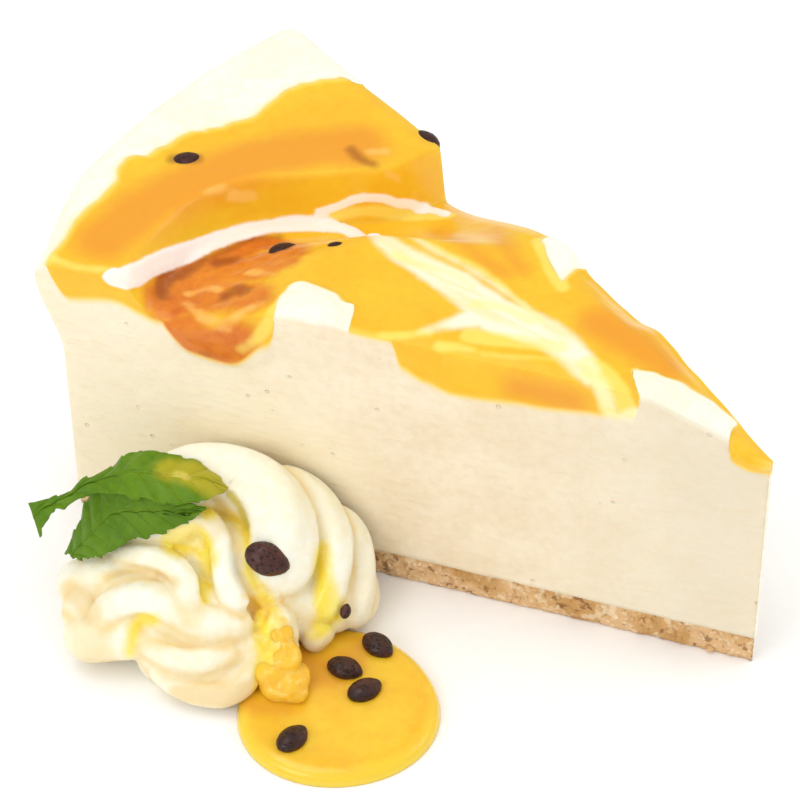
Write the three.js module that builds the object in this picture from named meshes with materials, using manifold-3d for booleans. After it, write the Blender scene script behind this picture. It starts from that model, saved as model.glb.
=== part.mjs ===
// A slice of cheesecake on a biscuit base, its top marbled with fruit glaze. Against one cut lies piped
// whipped cream with a sprig of mint, and in front of the cream a small pool of fruit sauce with seeds.
//
// Millimetres, +Z up. The slice stands on Z = 0 with its tip towards +X and its middle line along X.
// The origin is on the slice's underside, about where a sector of this size has its centroid.

import * as THREE from "three";
import { mergeVertices } from "three/addons/utils/BufferGeometryUtils.js";
import Module from "manifold-3d";

const wasm = await Module();
wasm.setup();

const { smoothstep, lerp, clamp, degToRad } = THREE.MathUtils;

// The slice
const CAKE_RADIUS = 115; // half of a 23 cm cake
const SLICE_ANGLE = degToRad(34);
const TIP_RADIUS = 1.2; // the wedge's point is blunt: it ends this far from the cake's middle
const APEX_X = 76.4; // the cake's middle, ahead of the origin
const TOP_HEIGHT = 53.5;
const GAP = 0.3; // between touching pieces

// The outer wall leans out under the top's rim, less at the near cut
const RIM_LEAN_NEAR = 3.6;
const RIM_LEAN_FAR = 7;
const RIM_ROUND = 3;
const LEAN_LEVEL = 0.65; // the share of the slice's height where the lean begins
const WALL_INNER = 103;
const CUT_ROUND = 0.8; // the top's fall where it meets a cut
const TIP_FALL = 7; // the top's fall towards the tip
const TIP_FALL_RADIUS = 27;
// The top's droop along the far cut, by distance from the cake's middle
const FAR_DROOP = [
  [0, 0.9], [11, 1.1], [17, 1.8], [21, 2.3], [24, 1.7], [27.5, 1.2], [32, 2.2], [36, 1.9], [42, 1.2],
  [46, 0.4], [49, 0],
];
const FAR_DROOP_REACH = 5;

// The biscuit base
const BASE_HEIGHT = 5.6;
const CRUMB_STEP = 2.8;
const CRUMB_RELIEF = 0.45;

// The step across the top, and the trough in front of it. Places across run from 0 at the near cut to 1
const STEP_MIDDLE = 92.5; // the step's distance from the cake's middle, halfway
const STEP_SWING = 12.5;
const STEP_CENTRE = 0.585;
const STEP_BLEND = 0.205;
const WALL_RUN_NEAR = 6;
const WALL_RUN_FAR = 2;
const STEP_FLARE = 0.9; // how much farther from the middle it lies at the far cut
const TROUGH_FLAT = [8, 1]; // by the near cut and by the far one
const TROUGH_LENGTH = [27, 30];
const TROUGH_DEPTH_NEAR = 6;
const TROUGH_DEPTH_FAR = 10.5;

// The fruit glaze: the height of its underside at each cut, by distance from the cake's middle
const GLAZE_THICKNESS = 5.2;
const BARE = 70; // an underside above the top: no glaze there
const CUT_BLEND = 8; // how far in from a cut its section reaches
const GLAZE_UNDER_NEAR = [
  [0, 42], [7, 43.5], [10, BARE], [19, BARE], [22.5, 46.9], [27, 46.4], [40, 45], [51, 43.9], [55, 45.2],
  [58.8, 47], [60.6, 53.2], [66.3, 53.6], [67.5, BARE], [77, BARE], [80, 46], [86.5, 40.4], [93, 41],
  [98.5, 45.5], [106, 47.8], [115, 46.2],
];
const GLAZE_UNDER_FAR = [
  [0, 42], [12, 44], [30, 46.5], [44, 47], [45.2, 55], [53, 55], [54.5, 47], [68, 39], [79, 37.5],
  [86, 45], [96, 48], [104, 48],
];
// Its edge along the rim, by place across
const GLAZE_BACK = [
  [0, 116], [0.08, 115.3], [0.14, 115.6], [0.18, 115.3], [0.25, 114.4], [0.3, 114.5], [0.36, 116.1],
  [0.39, 116.3], [0.405, 115.5], [0.42, 113.5], [0.45, 113.3], [0.48, 112.4], [0.52, 112.3],
  [0.55, 111.8], [0.575, 110.2], [0.62, 108.3], [0.69, 106.4], [0.74, 106.9], [0.82, 107.4],
  [0.86, 106.9], [0.91, 105.6], [0.96, 104], [1, 101.2],
];
const GLAZE_BACK_RISE = 4;
// How far across the bare patch by the tip reaches, by distance from the cake's middle
const TIP_BARE = [
  [7.5, -0.2], [8.5, 0.98], [12.2, 0.84], [16.7, 0.63], [20.9, 0.48], [23.6, 0.38], [25, 0.33],
  [26.5, 0], [27.5, -0.2],
];
const TIP_BARE_ACROSS = 0.33; // nearer the near cut than this, the patch ends closer to the tip
const TIP_BARE_SKEW = 14;
const TIP_BARE_SKEWED = [8, 20]; // only its outer end is turned so

// Lattice of the slice: lines between its rim, the glaze's edge, the step's brink, its foot and the tip
const RIM_LINES = 3;
const BACK_LINES = 5;
const WALL_LINES = 3;
const FRONT_LINES = 23;
const ALONG = RIM_LINES + BACK_LINES + WALL_LINES + FRONT_LINES;
const ACROSS = 13;
const LEVELS = [0, 0.62, 0.8, 0.92, 1];
const PAST = 3; // how far a cutter reaches past the slice

// Cream ribbons on the glaze: distance from the cake's middle and place across
const RIBBON_HEIGHT = 1.2;
const RIBBONS = [
  {
    half: [1.9, 1.5],
    path: [
      [105.2, 0], [104.1, 0.006], [102.9, 0.044], [102.2, 0.106], [101.4, 0.168], [100.6, 0.222],
      [99.4, 0.29], [98, 0.354], [96.2, 0.408], [93.3, 0.48], [90.1, 0.548], [86.4, 0.606],
      [83.2, 0.628], [79, 0.61], [75, 0.54], [71, 0.49],
    ],
  },
  {
    half: [0.9, 1],
    path: [
      [88.6, 0.606], [87.9, 0.62], [86.3, 0.654], [84.7, 0.692], [83.2, 0.73], [81.9, 0.768],
      [80.6, 0.812], [79.7, 0.864], [78.6, 0.912], [75.9, 0.93],
    ],
  },
];

// Seeds on the glaze: distance from the cake's middle, place across, turn in degrees, how deep they lie
const SEED_SIZE = [6, 4.2, 2.8];
const GLAZE_SEEDS = [
  [109.1, 0.464, 42, 1.2], [84.5, 0.985, 163, 0.9], [86.9, 0.388, 40, 1.1], [77.3, 0.4, 25, 1.1],
];

// Drops of glaze over the near cut: distance along it, height, half length, half height
const DRIP_DEPTH = 1.3;
const DRIPS = [[88.5, 45, 9, 5.6], [4, 45, 3.6, 3]];

// The pool of sauce; its seeds: distance along the near cut, out from it, turn in degrees
const POOL_X = 27.3;
const POOL_Y = -44.8;
const POOL_RADIUS = 15.7;
const POOL_HEIGHT = 2.2;
const POOL_PROFILE = [
  [0, 0], [1, 0], [1.02, 0.3], [0.99, 0.7], [0.93, 0.93], [0.8, 1], [0.4, 1.03], [0, 1.04],
];
const POOL_SEEDS = [[57.1, 17.2, 40], [60.3, 23.1, 5], [56.4, 26.6, 80], [63.5, 39.2, 60]];

// Folds of the piped cream: half width, then points along the near cut, out from it and up
const FOLDS = [
  [9, [[97, 14, 7], [87, 13, 10.5], [78, 14, 9], [72, 13, 5]]],
  [7.2, [[98, 22.5, 5.5], [88, 24, 7], [76, 23.5, 4.5]]],
  [4.6, [[93, 28, 3.5], [87, 29.6, 3.7], [80, 29.6, 3.6], [76, 27, 4]]],
  [5.5, [[76, 13, 8.5], [72, 16.5, 6], [70.5, 20.5, 3.5]]],
  [5, [[102, 15, 11], [97, 14.5, 17], [90.5, 14.5, 19.5], [86, 14.5, 18]]],
  [
    5.5,
    [
      [96, 12.5, 19], [91.5, 9, 21.5], [86, 7, 22], [79, 8, 21.5], [75, 11.5, 18.5], [74, 15, 15],
      [75, 18, 10.5],
    ],
  ],
  [
    2.8,
    [
      [80, 4, 21], [74.5, 3.6, 20], [71, 4.5, 18], [68, 7, 15.5], [66.5, 11, 12.5], [66.5, 15, 9],
      [67.5, 18, 6],
    ],
  ],
  [
    2.6,
    [
      [71, 3.6, 15.5], [67, 3.8, 13.5], [64.8, 5, 10.5], [63.4, 8, 7.5], [62.8, 12, 5.3], [63.5, 15, 3],
    ],
  ],
  [2.7, [[71, 3.8, 5], [67, 4, 4.6], [64, 6, 3.9], [62.9, 9.5, 3], [63.4, 12.8, 2.8]]],
  [2.3, [[65.5, 16.5, 5.5], [67, 19, 4], [68.5, 21, 3]]],
  [
    2.1,
    [
      [101, 22.5, 10.5], [99.5, 20.5, 12], [97.5, 20.5, 14], [94, 21, 15.5], [91, 21.5, 16],
      [88.5, 22.5, 16], [86.5, 24, 15.5], [85.5, 26, 14], [84.5, 27, 12.5], [83.5, 28, 11],
    ],
  ],
  [
    2.8,
    [
      [98, 32, 5.5], [98, 30.5, 7.5], [97.5, 29, 10], [95.5, 27.5, 11.5], [92.5, 27, 13], [89.5, 27, 13],
      [86.5, 27.3, 11.8], [82.5, 27.5, 11], [78.5, 26.2, 10.2], [75, 24.5, 9.6],
    ],
  ],
  [
    2.2,
    [
      [88.5, 15.5, 20.5], [86.5, 15.5, 20.8], [84, 16.5, 19.3], [82.3, 18.5, 17.5], [81, 21, 16],
      [79.5, 23, 14.5], [77, 24, 12],
    ],
  ],
  [
    2.2,
    [
      [92, 29.5, 9], [91, 30.5, 7.5], [88.5, 32, 6.8], [85, 32.5, 6.8], [81, 32, 7.3], [78, 29.5, 7],
      [76, 27.5, 8],
    ],
  ],
  [
    2.2,
    [
      [89, 32.5, 5], [86.8, 33.6, 4.1], [83.5, 34.5, 3.2], [80, 34.6, 2.9], [76.5, 33.6, 3],
      [74.8, 31.5, 3.7], [74.3, 29, 5], [75, 27.5, 7],
    ],
  ],
  [4.2, [[95, 20.5, 11], [100.5, 22.5, 9.5], [104.5, 23, 7.5], [108.3, 24.3, 5.7]]],
  [4.2, [[90, 28.5, 7], [94.5, 29.6, 6.3], [99.5, 30.8, 5.5], [104.2, 32, 4.4]]],
  [4.2, [[102.5, 22, 7.5], [102, 27, 6.5], [100, 31, 5]]],
  [3.4, [[101, 24, 8], [95.5, 24.5, 11], [89, 25, 12.5]]],
  [2.6, [[97, 29.5, 6.5], [92, 30, 6.5], [87.5, 30.5, 6.5]]],
  [3.2, [[74, 20.5, 11], [71.5, 24, 7.5], [71, 29, 3.8]]],
  [3, [[79, 27, 6.5], [75, 27, 6.5], [71.5, 27.5, 5]]],
  [2.8, [[67, 10, 8.5], [65.5, 14, 5.5], [65, 17, 3.5]]],
];
const FOLD_SPAN = 3.4; // a fold has a ring about this often
const LEAF_CLEARING = 8; // no cream stands this far above a leaf
// A seed on the cream: its place, then its tilt and its turn in its own plane, in degrees, and its growth
const CREAM_SEED = { at: [74.7, 18.6, 19.2], tilt: 43, spin: -20, grow: 0.6 };
const SEED_FACING = 36;
// Fruit pulp run down between the folds: the same, then half width
const RUNS = [
  [72, 25, 8.6, 1.7], [70.4, 28, 5.8, 1.8], [73, 29, 5.8, 1.6], [70.8, 31.2, 2.9, 1.8], [69, 25.5, 5, 1.7],
];

// The mint leaves: their two edges from the tip, along the near cut, out from it and up
const LEAF_THICKNESS = 0.8;
const LEAF_TOOTH = 0.5;
const LEAF_LINES = 22;
const LEAVES = {
  mint_leaf_upper: {
    far: [
      [83.4, 11.9, 25.5], [87.8, 10.1, 27.5], [93.9, 10.6, 28.5], [99.5, 11.4, 28], [102.5, 13.9, 26],
      [106, 16.7, 24.5], [108.3, 19.4, 23.5], [111, 20.4, 22.5], [113.6, 21.1, 21.5],
    ],
    near: [
      [83.3, 12.3, 25.5], [84.8, 16.1, 26.5], [88.3, 18.8, 27], [94.7, 19.5, 27], [100.3, 18.9, 25.5],
      [104, 19.1, 24.5], [106.6, 21.1, 23.5], [108.9, 22.1, 22], [110.7, 24.2, 18],
    ],
  },
  mint_leaf_lower: {
    far: [
      [85.4, 16.5, 25], [89, 17.3, 25.5], [93.8, 17.7, 25.5], [99.4, 16.8, 25], [104.5, 16, 22.5],
      [106.4, 18.8, 17], [108.1, 21.5, 12],
    ],
    near: [
      [85.2, 16.9, 25], [87.7, 18.1, 22.5], [91.6, 20.1, 20.5], [96.5, 21.5, 18.5], [99, 23, 17],
      [102.1, 23.2, 15], [105.1, 22.8, 13],
    ],
  },
};

const LOOKS = {
  filling: { color: 0xf5e6c6, roughness: 0.6 },
  fruit_glaze: { color: 0xf3a83a, roughness: 0.2 },
  crumb_base: { color: 0xc8964a, roughness: 0.9 },
  sauce_pool: { color: 0xf7bf3c, roughness: 0.15 },
  whipped_cream: { color: 0xfdf8e6, roughness: 0.5 },
  mint_leaf_upper: { color: 0x55861f, roughness: 0.5 },
  mint_leaf_lower: { color: 0x4f7f1f, roughness: 0.5 },
};

/** Value at x on the smooth line through the knots [[x, value], ...]. */
function through(knots, x) {
  const next = knots.findIndex(([knot]) => x <= knot);
  if (next === 0) return knots[0][1];
  if (next < 0) return knots[knots.length - 1][1];
  const [[x0, y0], [x1, y1]] = [knots[next - 1], knots[next]];
  return lerp(y0, y1, smoothstep(x, x0, x1));
}

/** Smooth unevenness from -1 to 1, with bumps about `size` mm wide. */
function unevenness(x, y, size) {
  const waves = Math.sin((x * 1.7 + y * 0.9 + 4) / size) * Math.cos((y * 1.3) / size);
  const swirls = Math.sin((1 - x * 0.6) / size + 2 * Math.sin(y / size / 2.3));
  return (waves + swirls) / 2;
}

/** Closed solid of a geometry, its vertices moved by place(point). */
function solidOf(geometry, place = (point) => point) {
  const bare = geometry.clone().deleteAttribute("normal").deleteAttribute("uv");
  const merged = mergeVertices(bare, 1e-4);
  const position = merged.getAttribute("position");
  const point = new THREE.Vector3();
  for (let i = 0; i < position.count; i++) {
    place(point.fromBufferAttribute(position, i));
    position.setXYZ(i, point.x, point.y, point.z);
  }
  const vertProperties = new Float32Array(position.array);
  const triVerts = new Uint32Array(merged.index.array);
  return new wasm.Manifold(new wasm.Mesh({ numProp: 3, vertProperties, triVerts }));
}

function geometryOf(solid) {
  const mesh = solid.getMesh();
  const geometry = new THREE.BufferGeometry();
  geometry.setAttribute("position", new THREE.BufferAttribute(new Float32Array(mesh.vertProperties), 3));
  geometry.setIndex(new THREE.BufferAttribute(new Uint32Array(mesh.triVerts), 1));
  geometry.computeVertexNormals();
  return geometry;
}

const joined = (solids) => solids.reduce((whole, solid) => whole.add(solid));

/** The largest of a solid's bodies, without the slivers a cut leaves loose. */
const mainBody = (solid) =>
  solid.decompose().reduce((largest, one) => (one.volume() > largest.volume() ? one : largest));

/** Box from 0 to 1 each way, divided into a lattice. */
const unitBox = (along, across, up) =>
  new THREE.BoxGeometry(1, 1, 1, along, across, up).translate(0.5, 0.5, 0.5);

/** Point at a distance from the cake's middle and a place across. */
function onSlice(radius, across) {
  const angle = (across - 0.5) * SLICE_ANGLE;
  return new THREE.Vector2(APEX_X - radius * Math.cos(angle), radius * Math.sin(angle));
}

/** Point beside the slice: distance along the near cut, out from it, and height. */
function besideSlice(along, out, height) {
  const half = SLICE_ANGLE / 2;
  return new THREE.Vector3(
    APEX_X - along * Math.cos(half) + out * Math.sin(half),
    -along * Math.sin(half) - out * Math.cos(half),
    height,
  );
}

// The slice's top

const rimLean = (across) => lerp(RIM_LEAN_NEAR, RIM_LEAN_FAR, smoothstep(across, 0, 0.35));
const stepBrink = (across) =>
  STEP_MIDDLE -
  STEP_SWING * Math.tanh((across - STEP_CENTRE) / STEP_BLEND) +
  STEP_FLARE * smoothstep(across, 0.8, 1);
const wallRun = (across) => lerp(WALL_RUN_NEAR, WALL_RUN_FAR, across);

/** Height of the slice's top, glaze and all. */
function topHeight(radius, across) {
  const tipFall = TIP_FALL * (1 - smoothstep(radius, 0, TIP_FALL_RADIUS));
  const past = stepBrink(across) - radius;
  const depth = lerp(TROUGH_DEPTH_NEAR, TROUGH_DEPTH_FAR, across);
  const far = smoothstep(across, 0.6, 1);
  const recovery = smoothstep(past, lerp(...TROUGH_FLAT, far), lerp(...TROUGH_LENGTH, far));
  const trough = depth * smoothstep(past, 0, wallRun(across)) * (1 - recovery);
  const short = RIM_ROUND - clamp(CAKE_RADIUS + rimLean(across) - radius, 0, RIM_ROUND);
  const rimFall = RIM_ROUND - Math.sqrt(RIM_ROUND ** 2 - short ** 2);
  const fromCut = Math.min(across, 1 - across) * SLICE_ANGLE * radius;
  const cutFall = CUT_ROUND * (1 - smoothstep(fromCut, -1, 2.5));
  const fromFar = (1 - across) * SLICE_ANGLE * radius;
  const droop = through(FAR_DROOP, radius) * (1 - smoothstep(fromFar, 0, FAR_DROOP_REACH));
  const { x, y } = onSlice(radius, across);
  return TOP_HEIGHT - tipFall - trough - rimFall - cutFall - droop + 0.35 * unevenness(x, y, 6);
}

/** Height of the glaze's underside. */
function glazeUnder(radius, across) {
  const inner = topHeight(radius, across) - GLAZE_THICKNESS;
  const fromNear = across * SLICE_ANGLE * radius;
  const fromFar = (1 - across) * SLICE_ANGLE * radius;
  const near = lerp(through(GLAZE_UNDER_NEAR, radius), inner, smoothstep(fromNear, 0, CUT_BLEND));
  const both = lerp(through(GLAZE_UNDER_FAR, radius), near, smoothstep(fromFar, 0, CUT_BLEND));
  const back = through(GLAZE_BACK, across);
  const rise = smoothstep(radius, back - GLAZE_BACK_RISE / 3, back + GLAZE_BACK_RISE);
  const turned = TIP_BARE_SKEW * smoothstep(radius, ...TIP_BARE_SKEWED);
  const skewed = radius + turned * Math.max(0, TIP_BARE_ACROSS - across);
  const tip = smoothstep(through(TIP_BARE, skewed) - across, -0.04, 0.14);
  return lerp(both, BARE, Math.max(rise, tip));
}

/** Distance from the cake's middle of a lattice line, counted in from the rim. */
function lineRadius(line, across) {
  const marks = [
    [0, CAKE_RADIUS + rimLean(across)],
    [RIM_LINES, through(GLAZE_BACK, across)],
    [RIM_LINES + BACK_LINES, stepBrink(across)],
    [RIM_LINES + BACK_LINES + WALL_LINES, stepBrink(across) - wallRun(across)],
    [ALONG, TIP_RADIUS],
  ];
  const next = Math.max(1, marks.findIndex(([mark]) => line <= mark));
  const [[line0, radius0], [line1, radius1]] = [marks[next - 1], marks[next]];
  return lerp(radius0, radius1, (line - line0) / (line1 - line0));
}

/** Place across of a lattice line, with the lines closer together at the cuts. */
const linePlace = (line) => lerp(line / ACROSS, (1 - Math.cos((Math.PI * line) / ACROSS)) / 2, 0.5);

/** The slice above its base, filling and glaze together. */
function sliceBody() {
  const floor = BASE_HEIGHT + GAP;
  return solidOf(unitBox(ALONG, ACROSS, LEVELS.length - 1), (p) => {
    const across = linePlace(p.y * ACROSS);
    const level = LEVELS[Math.round(p.z * (LEVELS.length - 1))];
    const radius = lineRadius(p.x * ALONG, across);
    const atWall = smoothstep(radius, WALL_INNER, CAKE_RADIUS);
    const upright = rimLean(across) * atWall * (1 - smoothstep(level, LEAN_LEVEL, 1));
    const { x, y } = onSlice(radius - upright, across);
    p.set(x, y, lerp(floor, topHeight(radius, across), level));
  });
}

/** Everything over the glaze's underside, lowered by `drop`: the slice's lattice and a line more around. */
function overGlaze(drop) {
  const [along, across] = [ALONG + 2, ACROSS + 2];
  return solidOf(unitBox(along, across, 1), (p) => {
    const line = Math.round(p.x * along) - 1;
    const column = Math.round(p.y * across) - 1;
    const place = linePlace(clamp(column, 0, ACROSS));
    const radius = lineRadius(clamp(line, 0, ALONG), place);
    const { x, y } = onSlice(radius, place);
    const under = p.z ? BARE + PAST : glazeUnder(radius, place) - drop;
    const ahead = line > ALONG ? PAST : line < 0 ? -PAST : 0;
    const aside = column > ACROSS ? PAST : column < 0 ? -PAST : 0;
    p.set(x + ahead, y + aside, under);
  });
}

/** A seed at a point: turned in its own plane, tilted, then turned about the upright. */
function seed(at, turn, grow, tilt = 0, spin = 0) {
  const shape = new THREE.SphereGeometry(0.5, 8, 5);
  shape.scale(...SEED_SIZE.map((size) => size + 2 * grow));
  shape.rotateZ(degToRad(spin)).rotateX(degToRad(tilt)).rotateZ(degToRad(turn));
  return solidOf(shape.translate(at.x, at.y, at.z));
}

/** A rod along a smooth line through the points: halves(t) gives its half width and half height there. */
function rod(points, halves, sides, steps, spacing = (t) => t) {
  const curve = new THREE.CatmullRomCurve3(points, false, "centripetal");
  const upright = new THREE.Vector3(0, 0, 1);
  const straight = new THREE.CylinderGeometry(1, 1, 1, sides, steps).translate(0, 0.5, 0);
  return solidOf(straight, (p) => {
    const t = spacing(clamp(p.y, 0, 1));
    const ahead = curve.getTangentAt(t);
    const side = new THREE.Vector3().crossVectors(ahead, upright).normalize();
    const rise = new THREE.Vector3().crossVectors(side, ahead);
    const [wide, high] = halves(t);
    const { x, z } = p;
    p.copy(curve.getPointAt(t)).addScaledVector(side, x * wide).addScaledVector(rise, z * high);
  });
}

/** Moves the rings of a rod towards its ends. */
const closerAtEnds = (t) => lerp(t, (1 - Math.cos(Math.PI * t)) / 2, 0.55);

/** Half widths that close round at both ends of a rod, over a share `ends` of its length. */
function roundEnds(t, wide, high, ends = 0.2) {
  const near = Math.min(1, Math.min(t, 1 - t) / ends);
  const share = Math.max(0.15, Math.sqrt(1 - (1 - near) ** 2));
  return [wide * share, high * share];
}

/** A ribbon over the glaze: its line is smooth as seen from above and follows the top's rises and falls. */
function ribbon({ half, path }, grow) {
  const places = new THREE.SplineCurve(path.map(([radius, across]) => new THREE.Vector2(radius, across)));
  const points = places.getPoints(2 * path.length).map(({ x: radius, y: across }) => {
    const { x, y } = onSlice(radius, across);
    return new THREE.Vector3(x, y, topHeight(radius, across));
  });
  return rod(points, (t) => roundEnds(t, lerp(...half, t) + grow, RIBBON_HEIGHT + grow), 8, path.length);
}

function glazeSeed([radius, across, turn, sunk], grow) {
  const { x, y } = onSlice(radius, across);
  return seed(new THREE.Vector3(x, y, topHeight(radius, across) - sunk), turn, grow);
}

function drip([along, height, long, high], grow) {
  const at = besideSlice(along, 0, height);
  const drop = new THREE.SphereGeometry(1, 14, 8).scale(long + grow, DRIP_DEPTH + grow, high + grow);
  return solidOf(drop.rotateZ(SLICE_ANGLE / 2).translate(at.x, at.y, at.z));
}

const onGlaze = (grow) => [
  ...RIBBONS.map((one) => ribbon(one, grow)),
  ...GLAZE_SEEDS.map((one) => glazeSeed(one, grow)),
  ...DRIPS.map((one) => drip(one, grow)),
];

/** Biscuit base: a sector with rough sides, pressed flat above and below. */
function crumbBase() {
  const sideSteps = Math.round((CAKE_RADIUS - TIP_RADIUS) / CRUMB_STEP);
  const rimSteps = Math.round((CAKE_RADIUS * SLICE_ANGLE) / CRUMB_STEP);
  const outline = [];
  for (let i = 0; i < sideSteps; i++) outline.push(onSlice(lerp(CAKE_RADIUS, TIP_RADIUS, i / sideSteps), 0));
  for (let i = 0; i < sideSteps; i++) outline.push(onSlice(lerp(TIP_RADIUS, CAKE_RADIUS, i / sideSteps), 1));
  for (let i = 0; i < rimSteps; i++) outline.push(onSlice(CAKE_RADIUS, 1 - i / rimSteps));
  const slab = new THREE.ExtrudeGeometry(new THREE.Shape(outline), {
    depth: BASE_HEIGHT,
    steps: 3,
    bevelEnabled: false,
  });
  const middle = onSlice((CAKE_RADIUS * 2) / 3, 0.5);
  return solidOf(slab, (p) => {
    const coarse = Math.sin(p.x * 5.1 - p.y * 9.7 + p.z * 6.3);
    const crumbs = Math.sin(p.x * 12.9 + p.y * 7.3 + p.z * 3.1) + coarse;
    const belly = 1 - Math.abs((2 * p.z) / BASE_HEIGHT - 1);
    const move = CRUMB_RELIEF * (crumbs / 2 - 1 + 0.6 * belly);
    const out = new THREE.Vector2(p.x, p.y).sub(middle).normalize();
    p.x += out.x * move;
    p.y += out.y * move;
  });
}

/** Pool of sauce: a low rounded disc with an uneven outline, and its seeds. */
function saucePool(grow) {
  const profile = POOL_PROFILE.map(([x, y]) => new THREE.Vector2(x, y));
  const disc = new THREE.LatheGeometry(profile, 36).rotateX(Math.PI / 2);
  const pool = solidOf(disc, (p) => {
    const angle = Math.atan2(p.y, p.x);
    const radius = POOL_RADIUS + 0.7 * Math.cos(angle - 5.1) + 0.35 * Math.sin(3 * angle + 1) + grow;
    p.set(POOL_X + p.x * radius, POOL_Y + p.y * radius, p.z * (POOL_HEIGHT + grow));
  });
  const seeds = POOL_SEEDS.map(([along, out, turn]) =>
    seed(besideSlice(along, out, POOL_HEIGHT + 0.5), turn, grow),
  );
  return joined([pool, ...seeds]);
}

/** Box lattice whose upper and lower faces are split into triangles alike. */
function thinSheet(long, wide) {
  const box = new THREE.BoxGeometry(1, 1, 1, long, wide, 1);
  const { start, count } = box.groups[5];
  for (let i = start; i < start + count; i += 6) {
    const [a, b, c, d] = [0, 1, 4, 2].map((k) => box.index.getX(i + k));
    [a, b, c, a, c, d].forEach((vertex, k) => box.index.setX(i + k, vertex));
  }
  return box.translate(0.5, 0.5, 0);
}

/** A leaf between its two edges, toothed and slightly ribbed; `above` is added over its upper face. */
function leaf({ far, near }, grow, above = 0) {
  const edges = [far, near].map((edge) => new THREE.CatmullRomCurve3(edge.map((p) => besideSlice(...p))));
  return solidOf(thinSheet(LEAF_LINES, 4), (p) => {
    const [low, high] = edges.map((edge) => edge.getPoint(p.x));
    const broad = low.distanceTo(high);
    const tooth = Math.round(p.x * LEAF_LINES) % 2 ? LEAF_TOOTH : 0;
    const margin = (tooth + grow) / Math.max(broad, 1);
    const place = lerp(-margin, 1 + margin, p.y);
    const ribs = 0.25 * Math.sin(p.x * 40) * Math.sin(Math.PI * p.y);
    const vault = 0.12 * Math.min(broad, 6) * Math.sin(Math.PI * p.y);
    const rise = 2 * p.z * (LEAF_THICKNESS / 2 + grow) + (p.z > 0 ? above : 0) + ribs + vault;
    p.lerpVectors(low, high, place);
    p.z += rise;
  });
}

function whippedCream() {
  const folds = FOLDS.map(([half, path]) => {
    const points = path.map((p) => besideSlice(...p));
    const long = new THREE.CatmullRomCurve3(points).getLength();
    const ends = clamp(half / long, 0.1, 0.5);
    const rings = clamp(Math.round(long / FOLD_SPAN), 5, 12);
    return rod(points, (t) => roundEnds(t, half, half, ends), 8, rings, closerAtEnds);
  });
  const runs = RUNS.map(([along, out, up, half]) => {
    const at = besideSlice(along, out, up);
    return solidOf(new THREE.SphereGeometry(half, 8, 5).translate(at.x, at.y, at.z));
  });
  const { at, tilt, spin, grow } = CREAM_SEED;
  const topping = seed(besideSlice(...at), SEED_FACING, grow, tilt, spin);
  const table = solidOf(new THREE.BoxGeometry(200, 200, 40).translate(0, 0, -20));
  const slice = solidOf(new THREE.BoxGeometry(200, 60, 120), (p) =>
    p.copy(besideSlice(CAKE_RADIUS / 2 + p.x, p.y - 30 + GAP, p.z)),
  );
  const leaves = Object.values(LEAVES).map((one) => leaf(one, GAP, LEAF_CLEARING));
  const around = joined([table, slice, saucePool(GAP), ...leaves]);
  return mainBody(joined([...folds, ...runs, topping]).subtract(around));
}

const root = new THREE.Group();

function addPiece(name, solid) {
  const mesh = new THREE.Mesh(geometryOf(solid), new THREE.MeshStandardMaterial(LOOKS[name]));
  mesh.name = name;
  root.add(mesh);
}

const body = sliceBody();
addPiece("filling", body.subtract(joined([overGlaze(GAP), ...onGlaze(GAP)])));
addPiece("fruit_glaze", joined([body.intersect(overGlaze(0)), ...onGlaze(0)]));
addPiece("crumb_base", crumbBase());
addPiece("sauce_pool", saucePool(0));
addPiece("whipped_cream", whippedCream());
for (const [name, edges] of Object.entries(LEAVES)) addPiece(name, leaf(edges, 0));

export default root;
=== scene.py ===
"""Looks of a fruit-glazed cheesecake slice with piped cream, mint leaves and a pool of fruit sauce."""

import math

import bmesh
import bpy
import numpy as np
from mathutils import Matrix, Vector, noise
from mathutils.bvhtree import BVHTree


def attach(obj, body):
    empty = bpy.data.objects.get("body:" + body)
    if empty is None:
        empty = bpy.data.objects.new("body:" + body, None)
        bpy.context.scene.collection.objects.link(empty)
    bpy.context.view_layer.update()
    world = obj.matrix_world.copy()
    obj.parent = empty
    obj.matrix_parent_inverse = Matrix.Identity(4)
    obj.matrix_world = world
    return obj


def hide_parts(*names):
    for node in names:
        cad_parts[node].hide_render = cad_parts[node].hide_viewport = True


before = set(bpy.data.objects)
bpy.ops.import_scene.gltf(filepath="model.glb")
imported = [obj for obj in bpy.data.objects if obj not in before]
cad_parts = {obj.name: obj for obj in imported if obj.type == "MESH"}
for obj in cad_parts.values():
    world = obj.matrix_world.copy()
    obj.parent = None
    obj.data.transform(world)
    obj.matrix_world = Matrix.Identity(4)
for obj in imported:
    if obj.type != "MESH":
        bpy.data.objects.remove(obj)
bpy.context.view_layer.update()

# General measures; OUTSIDE is the depth of a point that lies far from a mark

MM = 0.001
TINY = 1e-6
OUTSIDE = -9.0
SPLINE_STEPS = 200

# The slice, in millimetres; places across run from 0 at the near cut to 1 at the far cut

CAKE_RADIUS = 115
SLICE_ANGLE = math.radians(34)
HALF_ANGLE = SLICE_ANGLE / 2
TIP_RADIUS = 1.2
APEX_X = 76.4
TOP_HEIGHT = 53.5
RIM_LEAN_NEAR = 3.6
RIM_LEAN_FAR = 7
RIM_LEAN_FULL = 0.35
RIM_ROUND = 3
LEAN_LEVEL = 0.65
WALL_INNER = 103
CUT_ROUND = 0.8
CUT_ROUND_SPAN = (-1, 2.5)
TIP_FALL = 7
TIP_FALL_RADIUS = 27
TOP_UNEVEN = 0.35
TOP_UNEVEN_SIZE = 6
CUT_UNEVEN = 0.12
CUT_UNEVEN_SIZE = 5
BASE_HEIGHT = 5.6
BASE_GAP = 0.1
NEAR_OUTWARD = np.array([math.sin(HALF_ANGLE), -math.cos(HALF_ANGLE), 0])

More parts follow.
